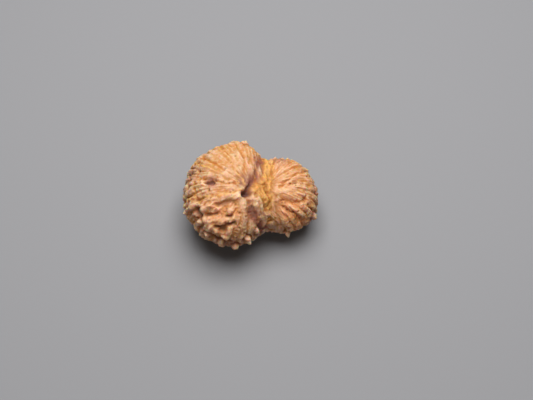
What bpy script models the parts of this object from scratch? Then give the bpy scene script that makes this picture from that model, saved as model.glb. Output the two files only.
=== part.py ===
"""Rudraksha seed: the stone of a fruit that grew as two joined lobes, ribbed and knobbed all over.

It is one solid at its real size. The lengths below are in millimetres, and the mesh is written in
metres. +X runs from the large lobe to the small one, +Z is up as the seed lies, and the origin is
on the surface that it lies on, under the middle of the seed.
"""
import math
from dataclasses import dataclass

import bpy
import numpy as np

MM = 0.001
NAME = "rudraksha_seed"


@dataclass(frozen=True)
class Lobe:
    """An ellipsoid of the body, turned about +Z by some degrees."""

    centre: tuple
    radii: tuple
    turn: float


@dataclass(frozen=True)
class Stroke:
    """A ridge, groove or hole along points of the skin.

    Each point is a plan point (x, y) of the seed's top or a place (x, y, z) that is drawn onto it.
    """

    points: tuple
    half_width: float
    height: float


@dataclass(frozen=True)
class Peg:
    """A knob on the side of a lobe, at a bearing and a rise in degrees from the lobe's middle."""

    bearing: float
    rise: float
    height: float


@dataclass(frozen=True)
class Patch:
    """A round patch of the skin, about a plan point of its upper side."""

    plan: tuple
    radius: float


@dataclass(frozen=True)
class Region:
    """Shares by which a patch changes the ribs' height, depth, pitch and folds, and the knobs' pitch."""

    patch: Patch
    height: float
    depth: float
    pitch: float
    folds: float
    knobs: float


@dataclass(frozen=True)
class Growth:
    """A value that changes evenly with the distance from the nearest pole, from a start to an end."""

    near: float
    far: float
    start: float
    end: float


@dataclass(frozen=True)
class Noise:
    """Smooth random unevenness: its pitch, how much it adds, and the seed that it is drawn from."""

    pitch: float
    amount: float
    seed: int


@dataclass(frozen=True)
class Packets:
    """Short wave packets laid over the skin, whose crests add up to the ribs."""

    at: np.ndarray
    way: np.ndarray
    length: np.ndarray
    reach: np.ndarray
    phase: np.ndarray


# the body under the skin: two lobes that meet in a soft waist
LARGE_LOBE = Lobe(centre=(-3.2, 0.0, 0.0), radii=(10.1, 11.8, 8.6), turn=-5.0)
SMALL_LOBE = Lobe(centre=(8.6, 0.35, -1.6), radii=(6.8, 8.2, 7.0), turn=12.0)
WAIST_BLEND = 3.3
HULL_CENTRE = np.array((1.2, 0.0, -0.2))
HULL_RADII = np.array((14.9, 11.8, 8.7))

# the ribs run over the skin from two poles on top to two below, in plan
POLES_ABOVE = ((0.3, -3.1), (4.9, -0.8))
POLES_BELOW = ((-1.5, 1.5), (7.5, -0.3))
POLE_PULLS = (1.0, 0.62)
POLE_FADE = 2.6
POLE_CLEARANCE = 0.3
UNDER_HASTE = 1.5

# ribs: pitch from crest to crest, height, and the share of it that the grooves and gaps cut away
RIB_PITCH = Growth(near=1.15, far=1.70, start=1.0, end=7.5)
KNOB_PITCH = Growth(near=4.6, far=1.9, start=3.0, end=10.0)
RIB_HEIGHT = Growth(near=0.30, far=1.00, start=0.8, end=8.8)
GROOVE_DEPTH = Growth(near=0.25, far=0.435, start=4.5, end=10.5)
GAP_DEPTH = Growth(near=0.15, far=0.90, start=4.5, end=10.5)
LEAST_CUT = 0.05
MOST_CUT = 0.95
RIB_FLATNESS = 2.1
KNOB_ROUNDNESS = 0.50
KNOB_SLANT = 0.5

# the seed is calmer at the back, bolder at the front and finer on the small lobe
REGIONS = (
    Region(Patch((-4.4, 4.9), 5.7), height=-0.50, depth=-0.76, pitch=-0.22, folds=-0.70, knobs=0.0),
    Region(Patch((-5.6, -8.0), 5.2), height=0.08, depth=-0.48, pitch=0.0, folds=0.0, knobs=0.0),
    Region(Patch((9.8, -0.8), 7.5), height=-0.34, depth=-0.34, pitch=0.06, folds=0.0, knobs=-0.50),
)

# wave packets that make the ribs and the knobs
RIB_PACKETS = 1100
KNOB_PACKETS = 900
RIB_REACH = 0.85
KNOB_REACH = 0.55
RIB_UNREST = 0.16
KNOB_UNREST = (0.85, 1.20)
SETTLING_ROUNDS = 3
PACKET_SPAN = 2.6
RANDOM_SEED = 12
NOISE_CELLS = 32
NOISE_STRENGTH = 1.5

# how uneven the skin is
WANDER = (Noise(1.8, 0.40, 30), Noise(0.77, 0.16, 40))
HEIGHT_NOISE = Noise(2.9, 0.30, 50)
VIGOUR_NOISE = Noise(1.25, 0.36, 60)
CORE_FIBRES = Noise(1.3, 0.42, 70)
FIBRE_STRETCH = np.array((1.3, 0.8, 1.0))
DEPTH_NOISE = Noise(2.3, 0.56, 90)
DEPTH_FOLDS = Noise(1.25, 0.71, 105)
PEG_NOISE = Noise(0.9, 0.45, 62)
FOLDS = Noise(1.5, 0.16, 100)
KNOB_VIGOUR = 0.22
TRAIL_STEP = 0.28
TRAIL_STEPS = 5
MOST_DRAWN = 1.3

# the pale core that shows between the lobes, where the ribs give way
CORE = (
    Patch(plan=(4.4, 5.8), radius=1.1),
    Patch(plan=(4.6, 4.0), radius=1.2),
    Patch(plan=(4.8, 2.3), radius=1.3),
    Patch(plan=(4.7, 0.6), radius=1.6),
    Patch(plan=(4.3, -1.2), radius=1.9),
    Patch(plan=(2.7, -2.6), radius=1.4),
    Patch(plan=(4.4, -3.6), radius=1.8),
    Patch(plan=(4.6, -5.4), radius=1.2),
    Patch(plan=(4.9, -7.2), radius=0.9),
)
CORE_HEIGHT = 0.20
CORE_PRESS = 0.75
CORE_EDGE = 1.8

# broad swells and dents of the two lobes
SWELLS = (
    Stroke(((3.2, 9.8, 0.5), (3.6, 8.8, 3.0)), 2.2, -0.60),
    Stroke(((1.2, 10.1, 2.8), (3.0, 8.8, 2.5)), 1.7, -0.60),
    Stroke(((-8.0, 9.6, 2.7), (-5.0, 10.8, 3.0)), 2.3, -0.75),
    Stroke(((-2.6, 11.1, 3.1), (-0.6, 10.8, 3.0)), 1.4, 0.35),
    Stroke(((-13.2, -3.5, -1.0), (-11.8, -6.2, -1.9)), 2.2, 0.30),
    Stroke(((6.6, 7.6, 1.3), (9.6, 7.9, 1.3)), 1.8, -0.30),
    Stroke(((12.6, 6.4, 0.6), (14.2, 4.2, 0.0)), 1.8, -0.40),
    Stroke(((14.6, -2.9, -2.6), (13.0, -5.4, -3.4)), 1.6, 0.35),
    Stroke(((9.9, -6.9, -4.4), (12.4, -5.9, -4.0)), 1.9, -0.45),
)

# the furrow beside the core and round the waist, and the hole that it runs into
FURROW = (
    Stroke(((3.9, 7.8), (3.5, 6.6), (3.0, 3.6), (2.6, 1.2), (1.6, -1.5)), 1.35, -0.62),
    Stroke(((0.7, -5.6), (1.1, -7.2), (1.8, -8.4), (2.6, -9.0), (3.6, -9.2)), 0.85, -0.75),
    Stroke(((4.6, 8.2, 1.5), (4.6, 8.8, -2.5), (4.4, 7.0, -6.0), (4.2, 3.5, -8.5)), 1.1, -0.65),
    Stroke(((4.2, 3.5, -8.5), (4.2, 0.0, -8.6), (4.2, -4.0, -8.0), (4.2, -7.6, -5.5)), 1.1, -0.65),
)
HOLE = Stroke(((-0.2, -4.4), (0.3, -3.9)), 0.76, -1.9)
HOLE_FALL = 3

# seams of the two lobes, and the longer cracks between their ribs
SEAMS = (
    Stroke(((-13.0, -2.6), (-10.2, -4.0), (-5.6, -4.8), (-1.5, -3.7)), 0.50, -0.28),
    Stroke(((-6.2, 8.8), (-5.2, 6.6), (-3.6, 3.9), (-2.0, 0.5), (-0.4, -2.2)), 0.50, -0.22),
    Stroke(((-11.2, 6.0), (-8.9, 2.8), (-6.6, 1.1), (-4.9, -0.1), (-1.4, -2.2)), 0.45, -0.22),
    Stroke(((6.0, 5.4), (5.9, 3.6), (5.9, 2.0)), 0.40, -0.20),
)
CRACKS = (
    Stroke(((7.4, -1.2), (9.2, 0.2), (11.4, 2.2), (13.3, 4.0)), 0.30, -0.42),
    Stroke(((9.4, -0.9), (11.0, -0.2)), 0.34, -0.40),
    Stroke(((8.5, -4.4), (10.3, -4.6), (13.0, -3.3)), 0.42, -0.42),
    Stroke(((7.0, -4.3), (8.6, -5.3), (11.0, -6.4), (12.9, -6.6)), 0.36, -0.32),
    Stroke(((-9.0, -0.2), (-6.0, -1.6), (-2.2, -2.4)), 0.30, -0.25),
    Stroke(((-8.6, 4.6), (-6.4, 2.6), (-4.8, 1.2)), 0.28, -0.25),
    Stroke(((-1.2, 6.8), (-0.6, 3.6), (-0.2, 0.6)), 0.28, -0.12),
)

# bold ridges and lips, first on the large lobe and then on the small one
RIDGES = (
    Stroke(((-8.1, -5.7), (-6.1, -5.4), (-3.8, -4.9), (-1.5, -4.7)), 1.00, 0.50),
    Stroke(((-1.5, -4.7), (-0.6, -6.2), (-0.2, -7.8)), 1.00, 0.40),
    Stroke(((-8.6, -6.6), (-7.2, -7.1), (-6.0, -7.0)), 0.85, 0.45),
    Stroke(((-13.0, -5.8), (-12.7, -4.9), (-11.5, -4.9), (-10.0, -5.6), (-9.2, -6.6)), 0.75, 0.50),
    Stroke(((-8.8, -8.0), (-7.6, -8.8)), 0.75, 0.50),
    Stroke(((-4.2, -7.6), (-3.0, -7.7)), 0.55, 0.40),
    Stroke(((-7.7, -9.6), (-6.1, -9.3), (-4.3, -9.1), (-2.7, -9.1)), 0.90, 0.55),
    Stroke(((-7.9, -10.2), (-7.4, -10.6, 3.7), (-6.0, -11.5, 3.1), (-4.3, -12.1, 2.3)), 0.70, 0.62),
    Stroke(((-4.3, -12.1, 2.3), (-3.7, -11.7, 3.5), (-3.3, -10.9, 4.7)), 0.50, 0.45),
    Stroke(((-8.9, -8.9), (-8.2, -8.6)), 0.80, 0.35),
    Stroke(((7.4, -2.2), (9.4, -2.5), (11.8, -2.8)), 1.00, 0.35),
    Stroke(((7.4, -4.1), (10.8, -5.4), (13.6, -5.4)), 0.60, 0.40),
    Stroke(((6.7, 1.6), (8.8, 2.9), (11.0, 4.6)), 0.80, 0.25),
)

# ridges and lumps of the core
CORE_RIDGES = (
    Stroke(((4.4, 5.8), (4.6, 3.4), (4.6, 1.6), (4.4, 0.2)), 0.75, 0.45),
    Stroke(((5.2, -1.0), (5.3, -1.5)), 0.75, 0.40),
    Stroke(((1.5, -3.1), (1.8, -3.1)), 0.55, 0.50),
    Stroke(((2.7, -2.0), (3.3, -2.9)), 0.55, 0.35),
    Stroke(((3.9, -3.9), (4.2, -4.6)), 0.80, 0.62),
    Stroke(((1.0, -5.2), (1.4, -6.5)), 0.42, 0.36),
    Stroke(((2.0, -5.0), (2.3, -6.3)), 0.36, 0.30),
    Stroke(((3.0, 3.0), (2.9, 0.9)), 0.38, 0.42),
    Stroke(((2.5, -4.5), (3.1, -5.8), (3.6, -6.8)), 0.38, 0.36),
    Stroke(((5.7, -4.2), (6.0, -5.0), (6.3, -5.8)), 0.45, 0.35),
)
RIDGE_FALL = 2.6

# how far marks are worked out, in half widths, and the spacing of points along one
FADE_REACH = 2.5
MARK_STEP = 0.25

# pits between the ribs, each with the height of its floor over the body
PITS = (
    Stroke(((-8.3, -1.5), (-7.3, -1.9)), 0.50, -0.15),
    Stroke(((-6.6, -1.3),), 0.36, 0.10),
    Stroke(((-7.7, -3.3),), 0.28, 0.30),
    Stroke(((-10.0, -6.6), (-9.7, -7.4)), 0.72, -0.15),
    Stroke(((-6.0, -6.5), (-4.6, -6.3), (-3.2, -6.0)), 0.50, 0.38),
    Stroke(((-6.0, -10.1), (-4.4, -10.1), (-2.7, -9.8)), 0.40, 0.50),
    Stroke(((-5.3, -11.0, 4.1), (-4.7, -11.1, 4.1)), 0.50, 0.36),
    Stroke(((-7.2, -11.5, 1.6), (-6.3, -11.9, 1.2)), 0.45, 0.10),
    Stroke(((-4.2, -12.4, 0.6), (-3.5, -12.4, 0.6)), 0.40, 0.20),
    Stroke(((-8.2, -7.9), (-6.2, -8.1)), 0.36, 0.42),
    Stroke(((-4.1, -8.6), (-3.3, -8.6)), 0.38, 0.38),
    Stroke(((10.5, -0.3), (11.2, -0.1)), 0.30, 0.30),
    Stroke(((-4.5, 1.4),), 0.35, 0.40),
    Stroke(((-1.5, 2.5),), 0.26, 0.30),
    Stroke(((1.3, -7.0), (1.7, -8.3)), 0.50, -0.25),
    Stroke(((2.3, 2.0), (2.2, 0.8)), 0.45, -0.30),
    Stroke(((0.4, -3.2), (0.9, -2.2)), 0.52, -0.90),
)

# pegs that stand out round the sides of each lobe and reach down them, with a gap round each
LARGE_LOBE_PEGS = (
    Peg(bearing=-127, rise=14, height=0.75),
    Peg(bearing=-116, rise=7, height=1.00),
    Peg(bearing=-100, rise=2, height=1.25),
    Peg(bearing=-87, rise=-5, height=1.40),
    Peg(bearing=-74, rise=3, height=1.15),
    Peg(bearing=-62, rise=7, height=0.70),
    Peg(bearing=76, rise=20, height=0.45),
)
SMALL_LOBE_PEGS = (
    Peg(bearing=-83, rise=-11, height=1.20),
    Peg(bearing=-38, rise=1, height=0.80),
    Peg(bearing=50, rise=14, height=0.50),
)
PEG_RADIUS = 0.62
PEG_REACH = 2.5
PEG_FALL = 3.4
PEG_STEADY = 0.45
PEG_GAP = 0.30
PEG_GAP_PLACE = 1.45
PEG_GAP_WIDTH = 0.40
PEG_PLACES = 5

# low knobs round the seed's weight, in plan, whose tips are worn flat where it lies
FEET = ((-5.6, -2.8), (-4.9, 3.1), (7.3, -2.3), (7.9, 2.5))
FOOT_RADIUS = 1.35
FOOT_ROUNDNESS = 0.55
FOOT_CLEARING = 0.75
FOOT_CLEARING_WIDTH = 1.25
FOOT_WEAR = 0.35
RESTING_LEVEL = -9.4

# distances at which the skin is looked for, up or down in plan and out from a lobe's middle
SEARCH_UP = np.linspace(0.0, 12.0, 1201)
SEARCH_OUT = np.linspace(4.0, 16.0, 1201)

# mesh: refinement of the starting sphere, and the share of its faces that stays
SPHERE_LEVEL = 7
SOFTENING = 2
SOFTENING_SHARE = 0.5
KEPT_FACES = 0.138
CUTTER_SIZE = 60.0

# finish
SHELL_COLOUR = (0.52, 0.27, 0.11, 1.0)
SHELL_ROUGHNESS = 0.55


def unit(vectors):
    """The vectors at length one."""
    return vectors / np.maximum(np.linalg.norm(vectors, axis=-1, keepdims=True), 1e-9)


def lobe_distance(points, lobe):
    """Distance from a lobe's surface, below zero inside it."""
    turn = math.radians(lobe.turn)
    along = np.array((math.cos(turn), math.sin(turn), 0.0))
    across = np.array((-math.sin(turn), math.cos(turn), 0.0))
    offset = points - np.array(lobe.centre)
    offset = np.column_stack((offset @ along, offset @ across, offset[:, 2]))
    radii = np.array(lobe.radii)
    near = np.linalg.norm(offset / radii, axis=1)
    slope = np.linalg.norm(offset / radii**2, axis=1)
    return near * (near - 1.0) / np.maximum(slope, 1e-9)


def body_distance(points):
    """Distance from the body's surface, with the two lobes blended at the waist."""
    large = lobe_distance(points, LARGE_LOBE)
    small = lobe_distance(points, SMALL_LOBE)
    share = np.clip(0.5 + 0.5 * (small - large) / WAIST_BLEND, 0.0, 1.0)
    return small * (1.0 - share) + large * share - WAIST_BLEND * share * (1.0 - share)


def body_gradient(points, step=0.01):
    """Direction in which the distance from the body grows."""
    gradient = np.empty_like(points)
    for axis in range(3):
        offset = np.zeros(3)
        offset[axis] = step
        gradient[:, axis] = body_distance(points + offset) - body_distance(points - offset)
    return gradient / (2.0 * step)


def onto_body(points, rounds=12):
    """The points moved onto the body's surface."""
    points = points.copy()
    for _ in range(rounds):
        gradient = body_gradient(points)
        steepness = np.maximum((gradient * gradient).sum(axis=1), 1e-6)
        points -= (body_distance(points) / steepness)[:, None] * gradient
    return points


def spread_evenly(points, edges, rounds=25, pace=0.6):
    """Points on the body moved towards the middle of their neighbours, to even out the mesh."""
    count = len(points)
    first, second = edges[:, 0], edges[:, 1]
    neighbours = np.bincount(first, minlength=count) + np.bincount(second, minlength=count)
    for _ in range(rounds):
        middle = np.empty_like(points)
        for axis in range(3):
            total = np.bincount(first, points[second, axis], count)
            total += np.bincount(second, points[first, axis], count)
            middle[:, axis] = total / neighbours
        points = onto_body(points + pace * (middle - points), rounds=2)
    return points


def first_outside(line):
    """The first point of a line that lies outside the body."""
    return line[np.where(body_distance(line) > 0.0)[0][0]]


def skin_point(place, under=False):
    """The point of the skin above or below a plan point, or nearest to a place in space."""
    if len(place) == 3:
        return onto_body(np.array([place]))[0]
    heights = SEARCH_UP * (-1.0 if under else 1.0)
    line = np.column_stack((np.full_like(heights, place[0]), np.full_like(heights, place[1]), heights))
    return first_outside(line)


def side_point(lobe, bearing, rise):
    """The point of the skin at a bearing and a rise in degrees from a lobe's middle."""
    bearing, rise = math.radians(bearing), math.radians(rise)
    level = math.cos(rise)
    way = np.array((math.cos(bearing) * level, math.sin(bearing) * level, math.sin(rise)))
    return first_outside(np.array(lobe.centre) + SEARCH_OUT[:, None] * way)


def even_points(count):
    """Points spread evenly over the body along a spiral."""
    index = np.arange(count) + 0.5
    height = 1.0 - 2.0 * index / count
    radius = np.sqrt(1.0 - height * height)
    angle = math.pi * (1.0 + math.sqrt(5.0)) * index
    ball = np.column_stack((radius * np.cos(angle), radius * np.sin(angle), height))
    return onto_body(ball * HULL_RADII + HULL_CENTRE)


def poles():
    """Each pole's place on the skin and its pull, above zero on top and below zero underneath."""
    above = [(skin_point(plan), pull) for plan, pull in zip(POLES_ABOVE, POLE_PULLS)]
    below = [(skin_point(plan, under=True), -pull) for plan, pull in zip(POLES_BELOW, POLE_PULLS)]
    return above + below


def rib_way(points, normals):
    """Direction of the ribs at each point of the skin."""
    way = np.zeros_like(points)
    for place, pull in poles():
        offset = points - place
        distance = np.maximum(np.linalg.norm(offset, axis=1, keepdims=True), POLE_CLEARANCE)
        way += pull * offset / distance**POLE_FADE
    way -= (way * normals).sum(axis=1, keepdims=True) * normals
    return unit(way)


def pole_distance(points):
    """Distance from each point to the nearest pole, stretched for the poles underneath."""
    distances = []
    for place, pull in poles():
        haste = 1.0 if pull > 0.0 else UNDER_HASTE
        distances.append(haste * np.linalg.norm(points - place, axis=1))
    return np.min(distances, axis=0)


def grown(growth, distance):
    """The value of a growth at each distance from a pole."""
    share = np.clip((distance - growth.start) / (growth.end - growth.start), 0.0, 1.0)
    return growth.near + (growth.far - growth.near) * share


def patch_share(points, patch):
    """One in the middle of a patch, falling to nothing outside it."""
    distance = np.linalg.norm(points - skin_point(patch.plan), axis=1)
    return np.exp(-((distance / patch.radius) ** 2))


def region_factor(points, changes):
    """One, changed near each region by that region's share."""
    return 1.0 + sum(
        change * patch_share(points, region.patch) for region, change in zip(REGIONS, changes)
    )


def smooth_noise(points, pitch, seed):
    """Smooth random height at each point, about from -1 to 1, from slopes on a lattice."""
    slopes = unit(np.random.default_rng(seed).normal(size=(NOISE_CELLS,) * 3 + (3,)))
    place = points / pitch
    cell = np.floor(place).astype(int)
    within = place - cell
    fade = within**3 * (within * (6.0 * within - 15.0) + 10.0)
    total = np.zeros(len(points))
    for corner in np.ndindex(2, 2, 2):
        slope = slopes[tuple(((cell + corner) % NOISE_CELLS).T)]
        weight = np.where(np.array(corner) == 1, fade, 1.0 - fade).prod(axis=1)
        total += weight * (slope * (within - corner)).sum(axis=1)
    return NOISE_STRENGTH * total


def uneven(points, noise):
    """Smooth random height, with half as much again at half the pitch."""
    coarse = smooth_noise(points, noise.pitch, noise.seed)
    fine = smooth_noise(points, noise.pitch / 2.0, noise.seed + 1)
    return noise.amount * (coarse + 0.5 * fine)


def wandering_points(points):
    """The points moved about by smooth random fields, so that the ribs wander."""
    for noise in WANDER:
        shifts = [smooth_noise(points, noise.pitch, noise.seed + axis) for axis in range(3)]
        points = points + noise.amount * np.column_stack(shifts)
    return points


def drawn_out(points, noise):
    """Smooth random height that is drawn out along the ribs, by adding it up along each rib."""
    total = smooth_noise(points, noise.pitch, noise.seed)
    for step in (-TRAIL_STEP, TRAIL_STEP):
        place = points
        for _ in range(TRAIL_STEPS):
            way = rib_way(place, unit(body_gradient(place)))
            place = onto_body(place + step * way, rounds=1)
            total += smooth_noise(place, noise.pitch, noise.seed)
    return noise.amount * np.clip(total / (2.0 * total.std()), -MOST_DRAWN, MOST_DRAWN)


def rib_packets():
    """Packets that wave across the ribs, with each phase settled to its neighbours'."""
    rng = np.random.default_rng(RANDOM_SEED + 1)
    at = even_points(RIB_PACKETS)
    normals = unit(body_gradient(at))
    way = rib_way(at, normals)
    turn = rng.normal(0.0, RIB_UNREST, RIB_PACKETS)[:, None]
    way = unit(way * np.cos(turn) + np.cross(normals, way) * np.sin(turn))
    across = np.cross(normals, way)
    length = grown(RIB_PITCH, pole_distance(at))
    length *= region_factor(at, [region.pitch for region in REGIONS])
    reach = RIB_REACH * length
    phase = rng.uniform(0.0, 2.0 * math.pi, RIB_PACKETS)
    offset = at[None, :, :] - at[:, None, :]
    weight = np.exp(-(offset**2).sum(axis=2) / (2.0 * reach[:, None] ** 2))
    weight *= normals @ normals.T > 0.0
    np.fill_diagonal(weight, 0.0)
    shift = 2.0 * math.pi * np.einsum("ijk,ik->ij", offset, across) / length[:, None]
    for _ in range(SETTLING_ROUNDS):
        for k in range(RIB_PACKETS):
            phase[k] = np.angle((weight[:, k] * np.exp(1j * (phase + shift[:, k]))).sum())
    return Packets(at, across, length, reach, phase)


def knob_packets():
    """Packets that wave along the ribs, which break them into knobs away from the poles."""
    rng = np.random.default_rng(RANDOM_SEED + 2)
    at = even_points(KNOB_PACKETS)
    way = rib_way(at, unit(body_gradient(at)))
    length = grown(KNOB_PITCH, pole_distance(at)) * rng.uniform(*KNOB_UNREST, KNOB_PACKETS)
    length *= region_factor(at, [region.knobs for region in REGIONS])
    phase = rng.uniform(0.0, 2.0 * math.pi, KNOB_PACKETS)
    return Packets(at, way, length, KNOB_REACH * length, phase)


def wave_phase(points, packets):
    """Phase of the packets' summed waves at each point."""
    total = np.zeros(len(points), complex)
    for at, way, length, reach, phase in zip(
        packets.at, packets.way, packets.length, packets.reach, packets.phase
    ):
        near = np.where((np.abs(points - at) < PACKET_SPAN * reach).all(axis=1))[0]
        offset = points[near] - at
        strength = np.exp(-(offset**2).sum(axis=1) / (2.0 * reach**2))
        total[near] += strength * np.exp(1j * (phase + 2.0 * math.pi * (offset @ way) / length))
    return np.angle(total)


def ribs(points, wandering):
    """Height of the ribs with their grooves and gaps, and the share of a knob at each point."""
    across = wave_phase(wandering, rib_packets())
    along = wave_phase(wandering, knob_packets())
    rib = 1.0 - (np.abs(across) / math.pi) ** RIB_FLATNESS
    knob = np.abs(np.cos((along + KNOB_SLANT * across) / 2.0)) ** KNOB_ROUNDNESS
    distance = pole_distance(points)
    height = grown(RIB_HEIGHT, distance) * (1.0 + uneven(points, HEIGHT_NOISE))
    height *= region_factor(points, [region.height for region in REGIONS])
    depth = grown(GROOVE_DEPTH, distance) * (1.0 + uneven(points, DEPTH_NOISE))
    depth *= 1.0 + drawn_out(points, DEPTH_FOLDS)
    depth *= region_factor(points, [region.depth for region in REGIONS])
    gap = grown(GAP_DEPTH, distance)
    cut = np.clip(depth, LEAST_CUT, MOST_CUT) * (1.0 - rib * (1.0 - gap + gap * knob))
    return height * (1.0 - cut), knob


def skin_line(stroke):
    """Points along a stroke, drawn onto the skin."""
    corners = [skin_point(place) for place in stroke.points]
    line = [corners[0]]
    for start, end in zip(corners, corners[1:]):
        pieces = max(1, int(np.linalg.norm(end - start) / MARK_STEP))
        line += [start + (end - start) * (k + 1) / pieces for k in range(pieces)]
    return onto_body(np.array(line))


def nearness(points, line, reach):
    """Indices of the points within reach of a line on the skin, and their distances from it."""
    low, high = line.min(axis=0) - reach, line.max(axis=0) + reach
    near = np.where(((points > low) & (points < high)).all(axis=1))[0]
    distance = np.full(len(near), np.inf)
    for at in line:
        distance = np.minimum(distance, np.linalg.norm(points[near] - at, axis=1))
    kept = distance < reach
    return near[kept], distance[kept]


def raise_ridge(height, points, vigour, stroke):
    """A soft ridge with an uneven crest."""
    near, distance = nearness(points, skin_line(stroke), FADE_REACH * stroke.half_width)
    ridge = np.exp(-((distance / stroke.half_width) ** RIDGE_FALL))
    height[near] += stroke.height * vigour[near] * ridge


def press_groove(height, points, stroke):
    """A soft groove along a stroke, or a broad swell."""
    near, distance = nearness(points, skin_line(stroke), FADE_REACH * stroke.half_width)
    height[near] += stroke.height * np.exp(-((distance / stroke.half_width) ** 2))


def press_hole(height, points, stroke):
    """A steep-sided hole along a stroke, down to the stroke's height."""
    near, distance = nearness(points, skin_line(stroke), FADE_REACH * stroke.half_width)
    inside = np.exp(-((distance / stroke.half_width) ** HOLE_FALL))
    height[near] = height[near] * (1.0 - inside) + stroke.height * inside


def core_share(points):
    """One where the pale core shows between the lobes, and nothing elsewhere."""
    inside = np.max([patch_share(points, patch) for patch in CORE], axis=0)
    return np.clip(CORE_EDGE * inside, 0.0, 1.0) ** 2


def raise_pegs(height, points, vigour):
    """The pegs round the sides of both lobes."""
    for lobe, pegs in ((LARGE_LOBE, LARGE_LOBE_PEGS), (SMALL_LOBE, SMALL_LOBE_PEGS)):
        for peg in pegs:
            rises = np.linspace(peg.rise, peg.rise - PEG_REACH, PEG_PLACES)
            line = np.array([side_point(lobe, peg.bearing, rise) for rise in rises])
            near, distance = nearness(points, line, FADE_REACH * PEG_RADIUS)
            share = distance / PEG_RADIUS
            strength = PEG_STEADY + (1.0 - PEG_STEADY) * vigour[near]
            strength *= 1.0 + uneven(points[near], PEG_NOISE)
            knob = strength * np.exp(-(share**PEG_FALL))
            gap = PEG_GAP * np.exp(-(((share - PEG_GAP_PLACE) / PEG_GAP_WIDTH) ** 2))
            height[near] += peg.height * (knob - gap)


def raise_feet(height, points):
    """The low round knobs that reach just past the resting level, clear of the ribs beside them."""
    for plan in FEET:
        line = skin_point(plan, under=True)[None, :]
        slope = -unit(body_gradient(line))[0, 2]
        crest = (line[0, 2] - RESTING_LEVEL + FOOT_WEAR) / slope
        near, distance = nearness(points, line, FADE_REACH * FOOT_RADIUS)
        share = distance / FOOT_RADIUS
        clearing = FOOT_CLEARING * np.exp(-((share / FOOT_CLEARING_WIDTH) ** 4))
        knob = crest * np.clip(1.0 - share**2, 0.0, 1.0) ** FOOT_ROUNDNESS
        height[near] = np.maximum(height[near] * (1.0 - clearing), knob)


def relief(points):
    """Height of the skin over each point of the body."""
    wandering = wandering_points(points)
    height, knob = ribs(points, wandering)
    height += drawn_out(points, FOLDS) * region_factor(points, [region.folds for region in REGIONS])
    vigour = (1.0 - KNOB_VIGOUR + KNOB_VIGOUR * knob) * (1.0 + uneven(points, VIGOUR_NOISE))
    core = core_share(wandering)
    fibres = uneven(points * FIBRE_STRETCH, CORE_FIBRES)
    height = height * (1.0 - CORE_PRESS * core) + (CORE_HEIGHT + fibres) * core
    for stroke in SWELLS:
        press_groove(height, points, stroke)
    for stroke in FURROW + SEAMS + CRACKS:
        press_groove(height, wandering, stroke)
    for stroke in RIDGES + CORE_RIDGES:
        raise_ridge(height, wandering, vigour, stroke)
    raise_pegs(height, wandering, vigour)
    raise_feet(height, wandering)
    for stroke in PITS + (HOLE,):
        press_hole(height, wandering, stroke)
    return height


def mesh_points(mesh):
    """The mesh's points as an array."""
    flat = np.empty(len(mesh.vertices) * 3)
    mesh.vertices.foreach_get("co", flat)
    return flat.reshape(-1, 3)


def mesh_edges(mesh):
    """The mesh's edges as pairs of point numbers."""
    flat = np.empty(len(mesh.edges) * 2, dtype=int)
    mesh.edges.foreach_get("vertices", flat)
    return flat.reshape(-1, 2)


def clear_scene():
    """Remove what the file holds, and return a collection for the seed and one for the cutter."""
    for thing in list(bpy.data.objects):
        bpy.data.objects.remove(thing)
    collections = []
    for name in (NAME, "cutters"):
        collection = bpy.data.collections.new(name)
        bpy.context.scene.collection.children.link(collection)
        collections.append(collection)
    return collections


def move_to(thing, collection):
    """Put an object in one collection only."""
    for other in list(thing.users_collection):
        other.objects.unlink(thing)
    collection.objects.link(thing)


def seed_material():
    """Dry, woody skin."""
    material = bpy.data.materials.new("seed_shell")
    material.use_nodes = True
    skin = material.node_tree.nodes["Principled BSDF"]
    skin.inputs["Base Color"].default_value = SHELL_COLOUR
    skin.inputs["Roughness"].default_value = SHELL_ROUGHNESS
    skin.inputs["Metallic"].default_value = 0.0
    return material


def model_seed(collection):
    """The whole seed: a sphere drawn onto the body, with its relief raised from it."""
    bpy.ops.mesh.primitive_ico_sphere_add(subdivisions=SPHERE_LEVEL, radius=1.0)
    seed = bpy.context.object
    seed.name = seed.data.name = NAME
    move_to(seed, collection)
    body = onto_body(mesh_points(seed.data) * HULL_RADII + HULL_CENTRE)
    body = spread_evenly(body, mesh_edges(seed.data))
    skin = body + unit(body_gradient(body)) * relief(body)[:, None]
    middle = (skin.min(axis=0) + skin.max(axis=0)) / 2.0
    skin -= np.array((middle[0], middle[1], RESTING_LEVEL))
    seed.data.vertices.foreach_set("co", (skin * MM).ravel())
    seed.data.update()
    seed.data.materials.append(seed_material())
    soft = seed.modifiers.new("soft_creases", "SMOOTH")
    soft.factor = SOFTENING_SHARE
    soft.iterations = SOFTENING
    thin = seed.modifiers.new("fewer_faces", "DECIMATE")
    thin.ratio = KEPT_FACES
    return seed


def flatten_feet(seed, collection):
    """Cut the lowest knobs flat where the seed rests."""
    bpy.ops.mesh.primitive_cube_add(size=CUTTER_SIZE * MM, location=(0.0, 0.0, -CUTTER_SIZE * MM / 2.0))
    cutter = bpy.context.object
    cutter.name = cutter.data.name = "surface_cutter"
    move_to(cutter, collection)
    cutter.hide_render = True
    cutter.display_type = "WIRE"
    cut = seed.modifiers.new("flat_feet", "BOOLEAN")
    cut.operation = "DIFFERENCE"
    cut.solver = "EXACT"
    cut.object = cutter


def main():
    """Model the seed."""
    seeds, cutters = clear_scene()
    seed = model_seed(seeds)
    flatten_feet(seed, cutters)


if __name__ == "__main__":
    main()
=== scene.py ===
"""The looks of a twin rudraksha seed: its ribbed and knobbed skin, its dry woody finish, and the studio.

Sizes on the seed are in millimetres, as they are taken with calipers, and its mesh is written in
metres. Sizes of the studio are in metres.
"""
import logging
import math
from dataclasses import dataclass
from enum import Enum
from typing import Any, Union

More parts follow.
